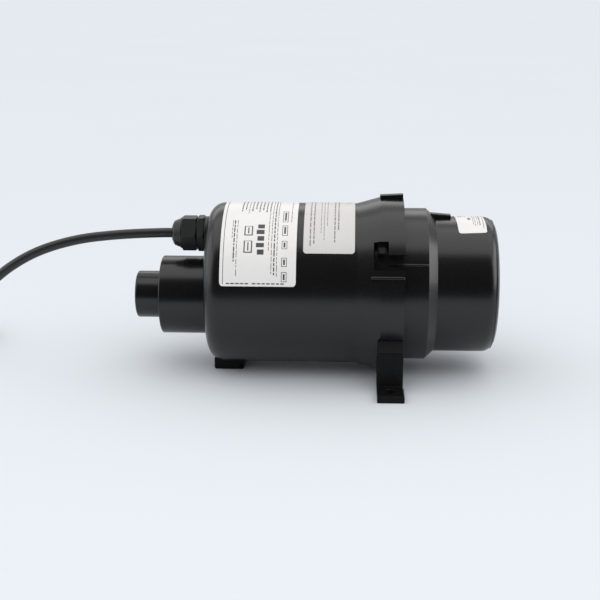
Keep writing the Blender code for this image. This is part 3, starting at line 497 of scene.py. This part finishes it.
class BLOWER_OT_stage(bpy.types.Operator):
    """Makes the camera, the paper floor, the pale surround and the lights"""

    bl_idname = "blower.stage"
    bl_label = "Stage"

    def execute(self, context):
        light = context.scene.blower_light
        aim = Vector((-0.01485, 0.0, AXIS_HEIGHT))
        azimuth, elevation, distance = math.radians(2.5), math.radians(15), 1.226
        back = Vector(
            (
                math.sin(azimuth) * math.cos(elevation),
                -math.cos(azimuth) * math.cos(elevation),
                math.sin(elevation),
            )
        )
        up = back.cross(Vector((math.cos(azimuth), math.sin(azimuth), 0.0)))
        bpy.ops.object.camera_add(location=aim - up * 0.0186 + back * distance)
        camera = context.object
        camera.name = "camera"
        camera.rotation_mode = "QUATERNION"
        camera.rotation_quaternion = (-back).to_track_quat("-Z", "Y")
        camera.data.lens = 71.0
        camera.data.sensor_width = 36.0
        context.scene.camera = camera
        context.scene.view_settings.view_transform = "Standard"

        bpy.ops.mesh.primitive_grid_add(x_subdivisions=8, y_subdivisions=8, size=60.0)
        floor = context.object
        floor.name = "paper_floor"
        paper = (("e3e8ee", "e6ebf0"), (0.9, 1.0), 3.0, 0.01, 900.0)
        floor.data.materials.append(dress("matt_pale_paper", *paper, Specular_IOR_Level=0.0))
        self.flag("flag_floor", (0.0, -2.06, 0.0006), (0.0, 0.0), (7.0, 3.0))
        self.flag("flag_front", (0.0, -3.0, 2.80), (90.0, 0.0), (7.0, 5.6))

        world = bpy.data.worlds.new("pale_surround")
        world.use_nodes = True
        world.node_tree.nodes["Background"].inputs["Color"].default_value = light.sky
        world.node_tree.nodes["Background"].inputs["Strength"].default_value = 0.60
        context.scene.world = world
        bpy.ops.object.light_add(type="SUN", location=(0.0, 0.0, 3.0))
        ceiling = context.object
        ceiling.name = "even_ceiling"
        ceiling.data.energy = light.ceiling
        ceiling.data.angle = math.radians(130)
        ceiling.visible_glossy = False
        panels = (
            ("overhead", (0.0, 0.10, 1.70), (0.0, 0.0), (3.0, 1.8), light.key),
            ("behind", (0.0, 1.90, 1.35), (-55.0, 0.0), (3.4, 0.7), light.rim),
            ("wing", (-1.6, -0.1, 0.75), (0.0, -80.0), (1.3, 1.6), light.wing),
            ("cap_wing", (1.6, -0.1, 0.75), (0.0, 80.0), (1.3, 1.6), light.cap_wing),
        )
        for job in panels:
            self.panel(*job).visible_diffuse = False
        front = ("front", (0.0, -1.30, 1.75), (37.0, 0.0), (1.8, 0.9), light.front)
        self.panel(*front).visible_glossy = False
        return {"FINISHED"}

    def flag(self, name, place, turn, size):
        """A black card that only reflections see."""
        bpy.ops.mesh.primitive_grid_add(x_subdivisions=2, y_subdivisions=2, size=1.0, location=place)
        card = bpy.context.object
        card.rotation_euler.x = math.radians(turn[0])
        card.scale = (*size, 1.0)
        settle(card, name)
        card.data.materials.append(dress("black_felt", ("040404", "060606"), (0.9, 1.0), 2.0, 0.02))
        for ray in ("camera", "diffuse", "transmission", "volume_scatter", "shadow"):
            setattr(card, "visible_" + ray, False)

    def panel(self, name, place, turn, size, watts):
        """A soft rectangular light facing down, tipped about X and Y."""
        bpy.ops.object.light_add(type="AREA", location=place)
        lamp = bpy.context.object
        lamp.name = name
        lamp.rotation_euler = (math.radians(turn[0]), math.radians(turn[1]), 0.0)
        lamp.data.shape = "RECTANGLE"
        lamp.data.size, lamp.data.size_y = size
        lamp.data.energy = watts
        return lamp


class BLOWER_OT_cord(bpy.types.Operator):
    """Lays the power cord, its storage coil with a tie, and the connector on its end"""

    bl_idname = "blower.cord"
    bl_label = "Cord and connector"

    def execute(self, context):
        radius = context.scene.blower_sizes.cord_radius
        points = [Vector(p) for p in CORD_ROUTE]
        a_turn = 24
        for i in range(COIL_TURNS * a_turn + 1):
            t = i / a_turn
            angle = math.radians(-90) - 2 * math.pi * t
            level = COIL_LEVELS[0] + (COIL_LEVELS[1] - COIL_LEVELS[0]) * t / COIL_TURNS
            place = (math.cos(angle) * COIL_RADIUS, math.sin(angle) * COIL_RADIUS)
            points.append(Vector((COIL_CENTRE[0] + place[0], COIL_CENTRE[1] + place[1], level)))
        points += [Vector(p) for p in TAIL_ROUTE]
        data = bpy.data.curves.new("power_cord_lead", "CURVE")
        data.dimensions = "3D"
        data.bevel_depth = radius
        data.bevel_resolution = 6
        data.use_fill_caps = True
        line = self.smooth_line(points)
        spline = data.splines.new("POLY")
        spline.points.add(len(line) - 1)
        for point, place in zip(spline.points, line):
            point.co = (*place, 1.0)
        spline.use_smooth = True
        cord = bpy.data.objects.new("power_cord_lead", data)
        context.scene.collection.objects.link(cord)
        data.materials.append(cord_pvc())
        finish_piece(cord, "housing", "cord_pvc", "power_cord", "cord_coil", "cord_tail")
        tie = self.tie()
        plug = self.plug()
        return {"FINISHED"}

    def smooth_line(self, points):
        """Points every few millimetres on a smooth curve through the given ones."""
        ends = [2 * points[0] - points[1], 2 * points[-1] - points[-2]]
        route = [ends[0], *points, ends[1]]
        fine = []
        for a, b, c, d in zip(route, route[1:], route[2:], route[3:]):
            for i in range(3):
                t = i / 3
                bend = (2 * a - 5 * b + 4 * c - d) * t * t + (3 * b - a - 3 * c + d) * t**3
                fine.append(b + ((c - a) * t + bend) / 2)
        return [*fine, points[-1]]

    def tie(self):
        """A strap wrapped round the coil's two turns, with its tail folded back over."""
        low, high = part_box("coil_tie")
        wall = 0.0012
        y0, y1, z0, z1 = low.y, high.y, low.z, high.z
        points = [
            (low.x, y0, z0),
            (low.x, y1, z0),
            (low.x, y1, z1),
            (low.x, y0, z1),
        ]
        strap = prism("coil_strap", points, (high.x - low.x, 0.0, 0.0))
        core = block(
            "coil_strap_core",
            (low.x - 0.01, y0 + wall, z0 + wall),
            (high.x + 0.01, y1 - wall, z1 - wall),
        )
        combine(strap, core)
        tail = block(
            "coil_strap_tail",
            (low.x + 0.001, y1 - 0.0004, z0 + 0.010),
            (high.x - 0.001, y1 + 0.0008, z1 - 0.006),
        )
        merge_pieces(strap, [tail])
        ease(strap, 0.0005)
        strap.data.materials.append(
            dress("woven_hook_and_loop_strap", ("141414", "242424"), (0.8, 0.95), 0.7, 0.25, 4.0)
        )
        return finish_piece(strap, "housing", "tie_strap", "coil_tie")

    def plug(self):
        """The moulded connector: a tapered ribbed relief, a soft-edged body and a shrouded mouth."""
        low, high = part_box("plug_body")
        middle_z = (low.z + high.z) / 2
        back = high.x
        body_end = back - 0.014
        body = block("connector_body", (low.x, low.y, low.z), (body_end, high.y, high.z))
        apply(body, "BEVEL", width=0.0030, segments=4, limit_method="ANGLE")
        wall = 0.0018
        mouth = block(
            "connector_mouth",
            (low.x - 0.002, low.y + wall, low.z + wall),
            (low.x + 0.015, high.y - wall, high.z - wall),
        )
        combine(body, mouth)
        relief = [(body_end - 0.003, 0.0), (body_end - 0.003, 0.0092), (body_end, 0.0090)]
        rings = 5
        for i in range(rings):
            x = body_end + 0.0018 + i * 0.0022
            r = 0.0088 - i * 0.0005
            relief += [(x, r), (x + 0.0003, r - 0.0009), (x + 0.0010, r - 0.0009), (x + 0.0013, r - 0.0003)]
        relief += [(back, 0.0062), (back, 0.0052)]
        sleeve = spun("connector_relief", relief + [(back - 0.004, 0.0)], middle_z, 64)
        merge_pieces(body, [sleeve])
        ease(body, 0.0005)
        body.data.materials.append(moulded_black("moulded_black_pvc_connector"))
        return finish_piece(body, "housing", "cord_pvc", "plug_body")


class BLOWER_OT_housing(bpy.types.Operator):
    """Spins the main housing, opens its bayonet slots and end holes, and adds its tab and rib"""

    bl_idname = "blower.housing"
    bl_label = "Main housing"

    def execute(self, context):
        s = context.scene.blower_sizes
        low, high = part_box("main_housing")
        end, rim = low.x, high.x
        flare_start, flange_start = 0.0434, 0.0669
        slot_x, arm_x = 0.0596, 0.0739
        slope = (s.flange_radius - s.housing_radius) / (flange_start - flare_start)
        corners = [
            (rim, s.flange_radius),
            (arm_x, s.flange_radius),
            (flange_start, s.flange_radius),
            (slot_x, s.housing_radius + slope * (slot_x - flare_start)),
            (flare_start, s.housing_radius),
            (end, s.housing_radius),
            (end, 0.0),
        ]
        profile = rounded(corners, {2: 0.004, 4: 0.006, 5: s.end_round}, 10)
        shell = spun("housing_shell", profile, steps=360, start=HOUSING_GRID_START)
        self.open_slots(shell, slot_x, arm_x)
        apply(shell, "SOLIDIFY", thickness=s.housing_wall, offset=-1.0, use_even_offset=True)
        start, stop = end - 0.004, end + 0.008
        for height, radius in ((s.outlet_height, 0.0370), (s.gland_height, 0.0083)):
            profile = [(start, 0.0), (start, radius), (stop, radius), (stop, 0.0)]
            combine(shell, spun("hole", profile, height, 96))
        ease(shell, s.edge)
        embedded = s.flange_radius - 0.0015
        tab = radial_block("flange_tab", (0.0663, rim - 0.0003), (embedded, 0.0932), 90, 0.009, 0.0012)
        rib = radial_block("flange_rib", (0.0569, rim - 0.0002), (embedded, 0.0900), 17, 0.0030)
        ease(tab, 0.0005, 3)
        ease(rib, 0.0014, 5)
        merge_pieces(shell, [tab, rib])
        shell.data.materials.append(moulded_black())
        finish_piece(shell, "housing", "black_moulded_plastic", "main_housing")
        return {"FINISHED"}

    def open_slots(self, shell, slot_x, arm_x):
        """Deletes the faces of the three L-shaped slots."""

        def in_slot(face):
            y, z = face.center.y, face.center.z - AXIS_HEIGHT
            angle = math.degrees(math.atan2(z, -y)) % BAYONET_STEP
            in_channel = 21.9 < angle < 31.9 and face.center.x > slot_x
            in_arm = 21.9 < angle < 40.9 and slot_x < face.center.x < arm_x
            return in_channel or in_arm

        pick(shell, "FACE", in_slot)
        bpy.ops.mesh.delete(type="FACE")
        bpy.ops.object.mode_set(mode="OBJECT")


class BLOWER_OT_outlet(bpy.types.Operator):
    """Spins the outlet's collar and pipe spigot"""

    bl_idname = "blower.outlet"
    bl_label = "Outlet spigot"

    def execute(self, context):
        s = context.scene.blower_sizes
        low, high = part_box("outlet_spigot")
        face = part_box("main_housing")[0].x - GAP
        tip, collar_end, inside = low.x, -0.1571, high.x
        spud, wall = 0.0367, s.housing_wall
        corners = [
            (inside, spud - wall),
            (inside, spud),
            (face, spud),
            (face, s.collar_radius),
            (collar_end, s.collar_radius),
            (collar_end, s.outlet_radius),
            (tip, s.outlet_radius),
            (tip, s.outlet_bore),
            (collar_end + wall, s.outlet_bore),
            (collar_end + wall, s.collar_radius - wall),
            (face - wall, s.collar_radius - wall),
            (face - 0.0007, spud - wall),
            (inside, spud - wall),
        ]
        radii = {3: 0.0004, 4: 0.0016, 5: 0.0006, 6: 0.0022, 7: 0.0008}
        spigot = spun("outlet_collar_and_spigot", rounded(corners, radii, 5), s.outlet_height, 180)
        smooth(spigot)
        spigot.data.materials.append(moulded_black())
        finish_piece(spigot, "housing", "black_moulded_plastic", "outlet_spigot")
        return {"FINISHED"}


class BLOWER_OT_cap(bpy.types.Operator):
    """Spins the twist-off cap and adds its lugs, wedge and rib"""

    bl_idname = "blower.cap"
    bl_label = "Intake cap"

    def execute(self, context):
        s = context.scene.blower_sizes
        low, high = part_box("end_cap")
        wall = s.housing_wall
        shoulder, start = 0.1135, 0.1224
        corners = [
            (high.x, 0.0),
            (high.x, s.cap_radius),
            (start, s.cap_radius),
            (shoulder, s.skirt_radius),
            (low.x, s.skirt_radius),
            (low.x, s.skirt_radius - wall),
            (shoulder - 0.0014, s.skirt_radius - wall),
            (start - 0.0014, s.cap_radius - wall),
            (high.x - wall, s.cap_radius - wall),
            (high.x - wall, 0.0),
        ]
        radii = {1: s.cap_round, 2: 0.0012, 3: 0.0014, 4: 0.0005}
        cap = spun("twist_cap", rounded(corners, radii, 8), steps=240)
        for i in range(3):
            for j in range(1, 4):
                turn = 36.75 + BAYONET_STEP * i + 30 * j
                window = radial_block("window", (0.0664, 0.0864), (0.0700, 0.0820), turn, 0.016)
                combine(cap, window)
        smooth(cap)
        wedge = radial_block("cap_wedge", (0.1148, 0.1382), (0.0675, 0.0741), 90, 0.009, -0.0018)
        rib = radial_block("cap_rib", (0.0744, shoulder), (0.0760, 0.0790), 27, 0.0026)
        ease(wedge, 0.0005, 3)
        ease(rib, 0.0012, 4)
        first = self.lug((0.0635, 0.0721), (0.0760, 0.0872), 0.0114)
        lugs = [first]
        for i in (1, 2):
            select_only(first)
            bpy.ops.object.duplicate()
            lugs.append(turn_round(bpy.context.object, BAYONET_STEP * i))
        merge_pieces(cap, [wedge, rib, *lugs])
        cap.data.materials.append(moulded_black())
        finish_piece(cap, "cap", "black_moulded_plastic", "end_cap")
        return {"FINISHED"}

    def lug(self, x_range, r_range, width):
        """A bayonet lug with a sunk face inside a narrow rim."""
        lug = block(
            "cap_lug",
            (x_range[0], -width / 2, AXIS_HEIGHT + r_range[0]),
            (x_range[1], width / 2, AXIS_HEIGHT + r_range[1]),
        )
        round_corners(lug, 0.0018)
        pick(lug, "FACE", lambda face: face.normal.z > 0.9)
        bpy.ops.mesh.inset(thickness=0.0013, depth=-0.0050)
        bpy.ops.object.mode_set(mode="OBJECT")
        ease(lug, 0.0002, 1)
        return turn_round(lug, 36.75 - 90)


class BLOWER_OT_labels(bpy.types.Operator):
    """Sticks the three curved labels on, printed with bars and boxes in place of any wording"""

    bl_idname = "blower.labels"
    bl_label = "Labels"

    def execute(self, context):
        s = context.scene.blower_sizes
        films = {
            "label_film": label_film("printed_white_polyester_film", ("e6e4e2", "eeecea")),
            "grey_label_film": label_film("printed_grey_polyester_film", ("cfccca", "d8d5d3")),
        }
        dark = label_ink("dark_grey_printing_ink", ("3a393b", "4a494b"))
        pale = label_ink("mid_grey_printing_ink", ("6f6e70", "7e7d7f"))
        body_r, cap_r = s.housing_radius, s.cap_radius
        jobs = (
            # node, body, slot, radius, degrees from and to, lean, ink, marks
            ("rating_label", "housing", "label_film", body_r, (11, 108), 0.0, dark, self.rating()),
            ("caution_label", "housing", "grey_label_film", body_r, (34, 108), 0.0, pale, self.caution()),
            ("cap_label", "cap", "label_film", cap_r, (60.5, 118), 3.0, pale, self.small()),
        )
        for node, body, slot, radius, angles, lean, ink, marks in jobs:
            patch = self.patch(node, radius, angles, lean)
            patch.data.materials.clear()
            patch.data.materials.append(films[slot])
            patch.data.materials.append(ink)
            self.ink(patch, node, radius, angles[0], marks)
            finish_piece(patch, body, slot, node)
        return {"FINISHED"}

    def patch(self, node, radius, angles, lean):
        """A curved sticker with round corners, on a fine grid that its print is picked out of."""
        low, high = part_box(node)
        outer, thickness, margin = radius + 0.0005, 0.0003, 0.0012
        span = angles[1] - angles[0]
        x0, x1 = low.x - margin, high.x + margin
        columns = round((x1 - x0) / 0.0006)
        profile = [(x0 + (x1 - x0) * i / columns, outer) for i in range(columns + 1)]
        over = math.degrees(margin / outer)
        rows = round(math.radians(span + 2 * over) * outer / 0.0006)
        name = node.replace("label", "sticker")
        sheet = spun(name, profile, steps=rows, start=angles[0] - over, span=span + 2 * over)
        if sum(f.normal.z for f in sheet.data.polygons) < 0:
            select_only(sheet)
            bpy.ops.object.mode_set(mode="EDIT")
            bpy.ops.mesh.select_all(action="SELECT")
            bpy.ops.mesh.flip_normals()
            bpy.ops.object.mode_set(mode="OBJECT")
        apply(sheet, "SOLIDIFY", thickness=thickness, offset=-1.0)
        half = math.radians(span) / 2
        width = 2 * outer * math.sin(half)
        depth = (radius * math.cos(half) - 0.006, radius + 0.004)
        stamp = radial_block(name + "_stamp", (low.x, high.x), depth, 90, width)
        round_corners(stamp, LABEL_CORNER)
        lean, middle = math.radians(lean), (low.x + high.x) / 2
        stamp.rotation_euler.z = lean
        stamp.location = (middle * (1 - math.cos(lean)), -middle * math.sin(lean), 0.0)
        settle(stamp)
        turn_round(stamp, sum(angles) / 2 - 90)
        combine(sheet, stamp, "INTERSECT")
        return smooth(sheet, 40)

    def ink(self, patch, node, radius, start, marks):
        """Gives the printing ink to the faces that lie inside the marks, in millimetres."""
        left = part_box(node)[0].x
        for face in patch.data.polygons:
            y, z = face.center.y, face.center.z - AXIS_HEIGHT
            across = (face.center.x - left) * 1000
            round_it = math.radians(math.degrees(math.atan2(z, -y)) - start) * radius * 1000
            printed = any(u0 <= across <= u1 and v0 <= round_it <= v1 for u0, u1, v0, v1 in marks)
            face.material_index = 1 if printed else 0

    def line(self, u, low, high, weight=1.0, seed=1):
        """One line of print as bars of word length, running round the label."""
        chance = random.Random(seed * 1000 + round(u * 10))
        bars, v = [], high
        while v > low + 1.5:
            length = chance.uniform(2.4, 7.5)
            bars.append((u - weight / 2, u + weight / 2, max(low, v - length), v))
            v -= length + chance.uniform(0.9, 1.5)
        return bars

    def frame_box(self, u0, u1, v0, v1, weight=0.6):
        """The outline of a box with two short dashes in it."""
        middle = (u0 + u1) / 2
        return [
            (u0, u0 + weight, v0, v1),
            (u1 - weight, u1, v0, v1),
            (u0, u1, v0, v0 + weight),
            (u0, u1, v1 - weight, v1),
            (middle - 0.7, middle + 0.7, v0 + 2.0, v1 - 2.0),
        ]

    def rating(self):
        """Marks of the large label: lines, two plain badges, a bar group and a column of boxes."""
        marks = [(3.0, 3.6, 1.5, 136.0)]
        for u, low, high in ((11.0, 49, 72), (13.2, 24, 72), (16.0, 9.5, 72)):
            marks += self.line(u, low, high)
        lows = (86, 92, 84, 88, 93, 85, 90, 84, 87)
        for i, low in enumerate(lows):
            marks += self.line(18.5 + i * 3.5, low, 134.5, 1.15, 2)
        for v0, v1 in ((52, 64), (33, 46)):
            marks += self.frame_box(23.0, 31.0, v0, v1, 0.9)
        for i, v in enumerate((31, 38.5, 46, 53.5, 61)):
            marks.append((34.6, 42.4, v, v + 5.2) if i % 2 else (36.2, 42.4, v, v + 5.2))
        for u, low in ((47.0, 35), (50.0, 9.5), (52.6, 11), (55.4, 9)):
            marks += self.line(u, low, 134.5, 1.0, 3)
        for v0, v1 in ((4, 14), (19, 28), (37, 46), (52, 65), (70, 88)):
            marks += self.frame_box(60.2, 65.2, v0, v1)
        marks += self.line(69.0, 70, 118, 0.6, 4)
        for u0, u1 in ((6.5, 30.0), (32.0, 63.0)):
            u = u0
            while u < u1 - 3:
                marks.append((u, u + 3.4, 2.0, 2.8))
                u += 4.6
        return marks

    def caution(self):
        """Marks of the grey label: groups of lines, each of its own length."""
        marks = []
        rows = ((6.5, 8), (10.0, 10), (17.0, 22), (20.0, 14), (23.0, 30), (30.5, 12), (34.0, 26))
        for u, low in rows:
            marks += self.line(u, low, 98.5, 1.0, 5)
        return [*marks, *self.line(42.6, 80, 98.5, 0.9, 6), *self.line(45.4, 84, 98.5, 0.9, 7)]

    def small(self):
        """Marks of the cap's label: text bars, a centre badge and a thin column."""
        marks = []
        for i in range(4):
            marks += self.line(3.6 + i * 2.4, 36, 60, 0.7, 8)
            marks += self.line(17.0 + i * 2.2, 12, 44, 0.7, 9)
        return [*marks, (12.0, 15.0, 26, 33), (26.4, 27.0, 8, 60)]


class BLOWER_OT_feet(bpy.types.Operator):
    """Builds the two slotted legs and the low foot under the outlet end"""

    bl_idname = "blower.feet"
    bl_label = "Legs and foot"

    def execute(self, context):
        s = context.scene.blower_sizes
        black = foot_black()
        for side, node in ((-1, "mounting_leg_front"), (1, "mounting_leg_back")):
            leg = self.leg(side, node, s.flange_radius + GAP)
            leg.data.materials.append(black)
            finish_piece(leg, "housing", "black_foot_plastic", node)
        foot = self.foot(s)
        foot.data.materials.append(black)
        finish_piece(foot, "housing", "black_foot_plastic", "outlet_end_foot")
        return {"FINISHED"}

    def leg(self, side, node, seat):
        """A leg that hugs the flange, stands straight down and turns out into a slotted pad."""
        low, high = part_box(node)
        face_y, inner_y, pad = 0.090, 0.058, 0.0073
        reach = max(abs(low.y), abs(high.y))
        inner_angle = 90 - math.degrees(math.asin(inner_y / seat))
        seat_points = []
        for i in range(13):
            a = math.radians(-inner_angle + (inner_angle - 25) * i / 12)
            seat_points.append((seat * math.cos(a), AXIS_HEIGHT + seat * math.sin(a)))
        outline = [
            *seat_points,
            (face_y, 0.0410),
            (face_y, pad),
            (reach, pad),
            (reach, 0.0),
            (inner_y, 0.0),
        ]
        points = [(low.x, side * y, z) for y, z in outline]
        leg = prism(node.replace("mounting_", "") + "_leg", points, (high.x - low.x, 0.0, 0.0))
        wall = 0.003
        near, far = sorted((side * (inner_y + wall), side * (face_y - wall)))
        pocket = block("pocket", (low.x + wall, near, -0.001), (high.x - wall, far, 0.011))
        combine(leg, pocket)
        middle, slot_y = (low.x + high.x) / 2, side * 0.104
        slot = block(
            "slot", (middle - 0.0035, slot_y - 0.006, -0.001), (middle + 0.0035, slot_y + 0.006, 0.012)
        )
        round_corners(slot, 0.0033)
        combine(leg, slot)
        near, far = sorted((side * 0.0905, side * (reach - 0.0004)))
        lip = block(node + "_lip", (high.x - 0.0006, near, 0.0002), (high.x + 0.0008, far, 0.0060))
        merge_pieces(leg, [lip])
        ease(leg, 0.0008, 3)
        across = low.x + 0.65 * (high.x - low.x)
        pips = [self.pip(across, side, z) for z in (0.0190, 0.0255, 0.0320, 0.0385)]
        return merge_pieces(leg, pips)

    def pip(self, x, side, z):
        """A small domed ejector mark on the leg's outer face."""
        select_only(None)
        bpy.ops.mesh.primitive_uv_sphere_add(
            segments=16, ring_count=8, radius=0.0013, location=(x, side * 0.0900, z)
        )
        bead = bpy.context.object
        bead.scale.y = 0.7
        settle(bead, "pip")
        return smooth(bead, 60)

    def foot(self, s):
        """The low foot: its top is hollowed to the housing and an eyelet runs through its inner end."""
        low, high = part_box("outlet_end_foot")
        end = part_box("main_housing")[0].x
        left, right, half = low.x, high.x, high.y
        corners = [
            (left, 0.0115),
            (left, 0.0),
            (right - 0.0020, 0.0),
            (right, 0.0060),
            (right, 0.0115),
        ]
        outline = [(x, -half, z) for x, z in rounded(corners, {1: 0.0022, 2: 0.0016, 3: 0.0020}, 5)]
        foot = prism("outlet_foot", outline, (0.0, 2 * half, 0.0))
        clear = [
            (0.0, 0.0),
            (0.0, s.housing_radius + GAP),
            (end, s.housing_radius + GAP),
            (end, 0.0),
        ]
        combine(foot, spun("clearance", rounded(clear, {2: s.end_round}, 12), steps=180))
        centre = (right - 0.0042, 0.0, 0.0044)
        combine(foot, self.crosswise("eyelet", 0.0020, 2 * half + 0.004, centre))
        ease(foot, 0.0004, 2)
        bpy.ops.mesh.primitive_uv_sphere_add(segments=20, ring_count=10, radius=0.0012, location=centre)
        bead = bpy.context.object
        bead.location.y = 0.0015 - half
        settle(bead, "eyelet_pin_head")
        pin = self.crosswise("eyelet_pin", 0.0021, 2 * half - 0.003, centre)
        return merge_pieces(foot, [smooth(bead, 60), smooth(pin)])

    def crosswise(self, name, radius, length, centre):
        """A round bar that runs across the blower."""
        select_only(None)
        bpy.ops.mesh.primitive_cylinder_add(vertices=24, radius=radius, depth=length, location=centre)
        bar = bpy.context.object
        bar.rotation_euler.x = math.pi / 2
        return settle(bar, name)


class BLOWER_OT_gland(bpy.types.Operator):
    """Turns the cord gland: its seat, hexagon body and domed nut"""

    bl_idname = "blower.gland"
    bl_label = "Cord gland"

    def execute(self, context):
        s = context.scene.blower_sizes
        height = s.gland_height
        low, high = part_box("gland_dome_nut")
        tip, nut_end = low.x, high.x
        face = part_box("main_housing")[0].x - GAP
        dome_end, collar_end = -0.1355, -0.1123
        nylon = gland_nylon()
        corners = [
            (nut_end - 0.002, 0.0056),
            (tip, 0.0056),
            (tip, 0.0078),
            (tip + 0.0022, 0.0124),
            (dome_end - 0.0012, 0.0152),
            (dome_end - 0.0012, 0.0161),
            (dome_end + 0.0008, 0.0161),
            (dome_end + 0.0008, 0.0150),
            (nut_end - 0.002, 0.0150),
            (nut_end - 0.002, 0.0056),
        ]
        radii = {1: 0.0004, 2: 0.0008, 3: 0.0030, 4: 0.0005, 5: 0.0004, 6: 0.0004}
        dome = spun("gland_dome", rounded(corners, radii, 5, 0.0002), height, 96)
        smooth(dome)
        nut = ease(hexagon("gland_nut_hex", (dome_end + 0.0004, nut_end), 0.0330, height, 0.0012), 0.0005)
        merge_pieces(nut, [dome])
        nut.name = "gland_nut"
        nut.data.materials.append(nylon)
        finish_piece(nut, "housing", "dark_nylon", "gland_dome_nut")
        corners = [
            (-0.0956, 0.0056),
            (-0.0956, 0.0080),
            (face, 0.0080),
            (face, 0.0172),
            (collar_end + 0.0006, 0.0172),
            (collar_end + 0.0006, 0.0160),
            (nut_end + GAP, 0.0150),
            (nut_end + GAP, 0.0056),
            (-0.0956, 0.0056),
        ]
        seat = spun("gland_seat", rounded(corners, {3: 0.0004, 4: 0.0008}, 5, 0.0002), height, 96)
        smooth(seat)
        body = hexagon("gland_body_hex", (nut_end + 0.0012, collar_end), 0.0340, height, 0.0012)
        ease(body, 0.0005)
        merge_pieces(body, [seat])
        body.name = "gland_seat_and_hex"
        body.data.materials.append(nylon)
        finish_piece(body, "housing", "dark_nylon", "gland_body")
        return {"FINISHED"}


class BLOWER_OT_inside(bpy.types.Operator):
    """Finishes the motor, fan, brushes and wiring, which keep their CAD shapes"""

    bl_idname = "blower.inside"
    bl_label = "Motor and fan finishes"

    def execute(self, context):
        # each: name, two tones, roughness from and to, grain, depth and drift in mm, and any stretch
        metals = {
            # turned steel: bright, with fine rings round the axis
            "bright_steel": (
                "turned_bright_steel", ("b9bbbd", "c6c7c8"), (0.22, 0.34), 0.5, 0.01, 30, (12, 1, 1)
            ),
            # zinc plate: pale, faintly spangled
            "zinc_plated_steel": ("zinc_plated_steel", ("b4b6b4", "c9cac6"), (0.30, 0.46), 3.0, 0.01, 9),
            # stacked electrical steel: dark, with a thin line at every lamination
            "lamination_steel": (
                "stacked_lamination_steel", ("5c5d60", "7b7c7f"), (0.4, 0.6), 1.0, 0.06, 5, (4, 0.3, 0.3)
            ),
            # enamelled wire: glossy copper brown in close turns
            "enamelled_copper": (
                "enamelled_copper_wire", ("7e3c1b", "9c5228"), (0.20, 0.36), 0.9, 0.10, 8, (3, 1, 1)
            ),
            "brass": ("drawn_brass", ("b08d45", "c29f55"), (0.25, 0.40), 1.2, 0.01, 14),
            # cast aluminium: matt silver grey with a sand-cast grain
            "cast_aluminium": ("cast_aluminium", ("a5a8aa", "bcbec0"), (0.42, 0.60), 0.9, 0.05, 20),
        }
        others = {
            "carbon": ("pressed_carbon", ("1d1d1f", "2b2b2e"), (0.5, 0.7), 0.5, 0.03, 4),
            "black_rubber": ("moulded_black_rubber", ("1b1b1b", "242424"), (0.65, 0.8), 0.8, 0.03, 20),
            # open-cell foam: grey, dull and full of small holes
            "grey_filter_foam": ("open_cell_grey_foam", ("4a4a4c", "68686a"), (0.9, 1.0), 1.2, 0.6, 3),
            "brown_insulation": ("brown_pvc_insulation", ("5d3a22", "6b452b"), (0.35, 0.5), 0.8, 0.02, 9),
            "blue_insulation": ("blue_pvc_insulation", ("2a4f9a", "3459a6"), (0.35, 0.5), 0.8, 0.02, 9),
            "green_insulation": ("green_pvc_insulation", ("3f8a3c", "8fae3a"), (0.35, 0.5), 0.8, 0.02, 5),
        }
        finishes = {slot: dress(*look, Metallic=1.0) for slot, look in metals.items()}
        finishes.update({slot: dress(*look) for slot, look in others.items()})
        finishes["dark_nylon"] = gland_nylon()
        finishes["black_foot_plastic"] = foot_black()
        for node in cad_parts.values():
            if node.hide_render:
                continue
            slot = node.data.materials[0].name.split(".")[0]
            node.data.materials.clear()
            node.data.materials.append(finishes[slot])
        return {"FINISHED"}


class BLOWER_PT_panel(bpy.types.Panel):
    """Lists the blower's pieces, sizes and lights"""

    bl_idname = "BLOWER_PT_panel"
    bl_label = "Air blower"
    bl_space_type = "VIEW_3D"
    bl_region_type = "UI"
    bl_category = "Blower"

    def draw(self, context):
        column = self.layout.column()
        for operator in STEPS:
            column.operator(operator.bl_idname)
        for group in (context.scene.blower_sizes, context.scene.blower_light):
            box = column.box()
            for key in group.__annotations__:
                box.prop(group, key)


STEPS = (
    BLOWER_OT_stage,
    BLOWER_OT_cord,
    BLOWER_OT_housing,
    BLOWER_OT_outlet,
    BLOWER_OT_cap,
    BLOWER_OT_labels,
    BLOWER_OT_feet,
    BLOWER_OT_gland,
    BLOWER_OT_inside,
)
CLASSES = (BlowerSizes, BlowerLight, *STEPS, BLOWER_PT_panel)


def register():
    for kind in CLASSES:
        bpy.utils.register_class(kind)
    bpy.types.Scene.blower_sizes = bpy.props.PointerProperty(type=BlowerSizes)
    bpy.types.Scene.blower_light = bpy.props.PointerProperty(type=BlowerLight)


def unregister():
    del bpy.types.Scene.blower_light
    del bpy.types.Scene.blower_sizes
    for kind in reversed(CLASSES):
        bpy.utils.unregister_class(kind)


def main():
    register()
    for operator in STEPS:
        group, name = operator.bl_idname.split(".")
        getattr(getattr(bpy.ops, group), name)()


if __name__ == "__main__":
    main()
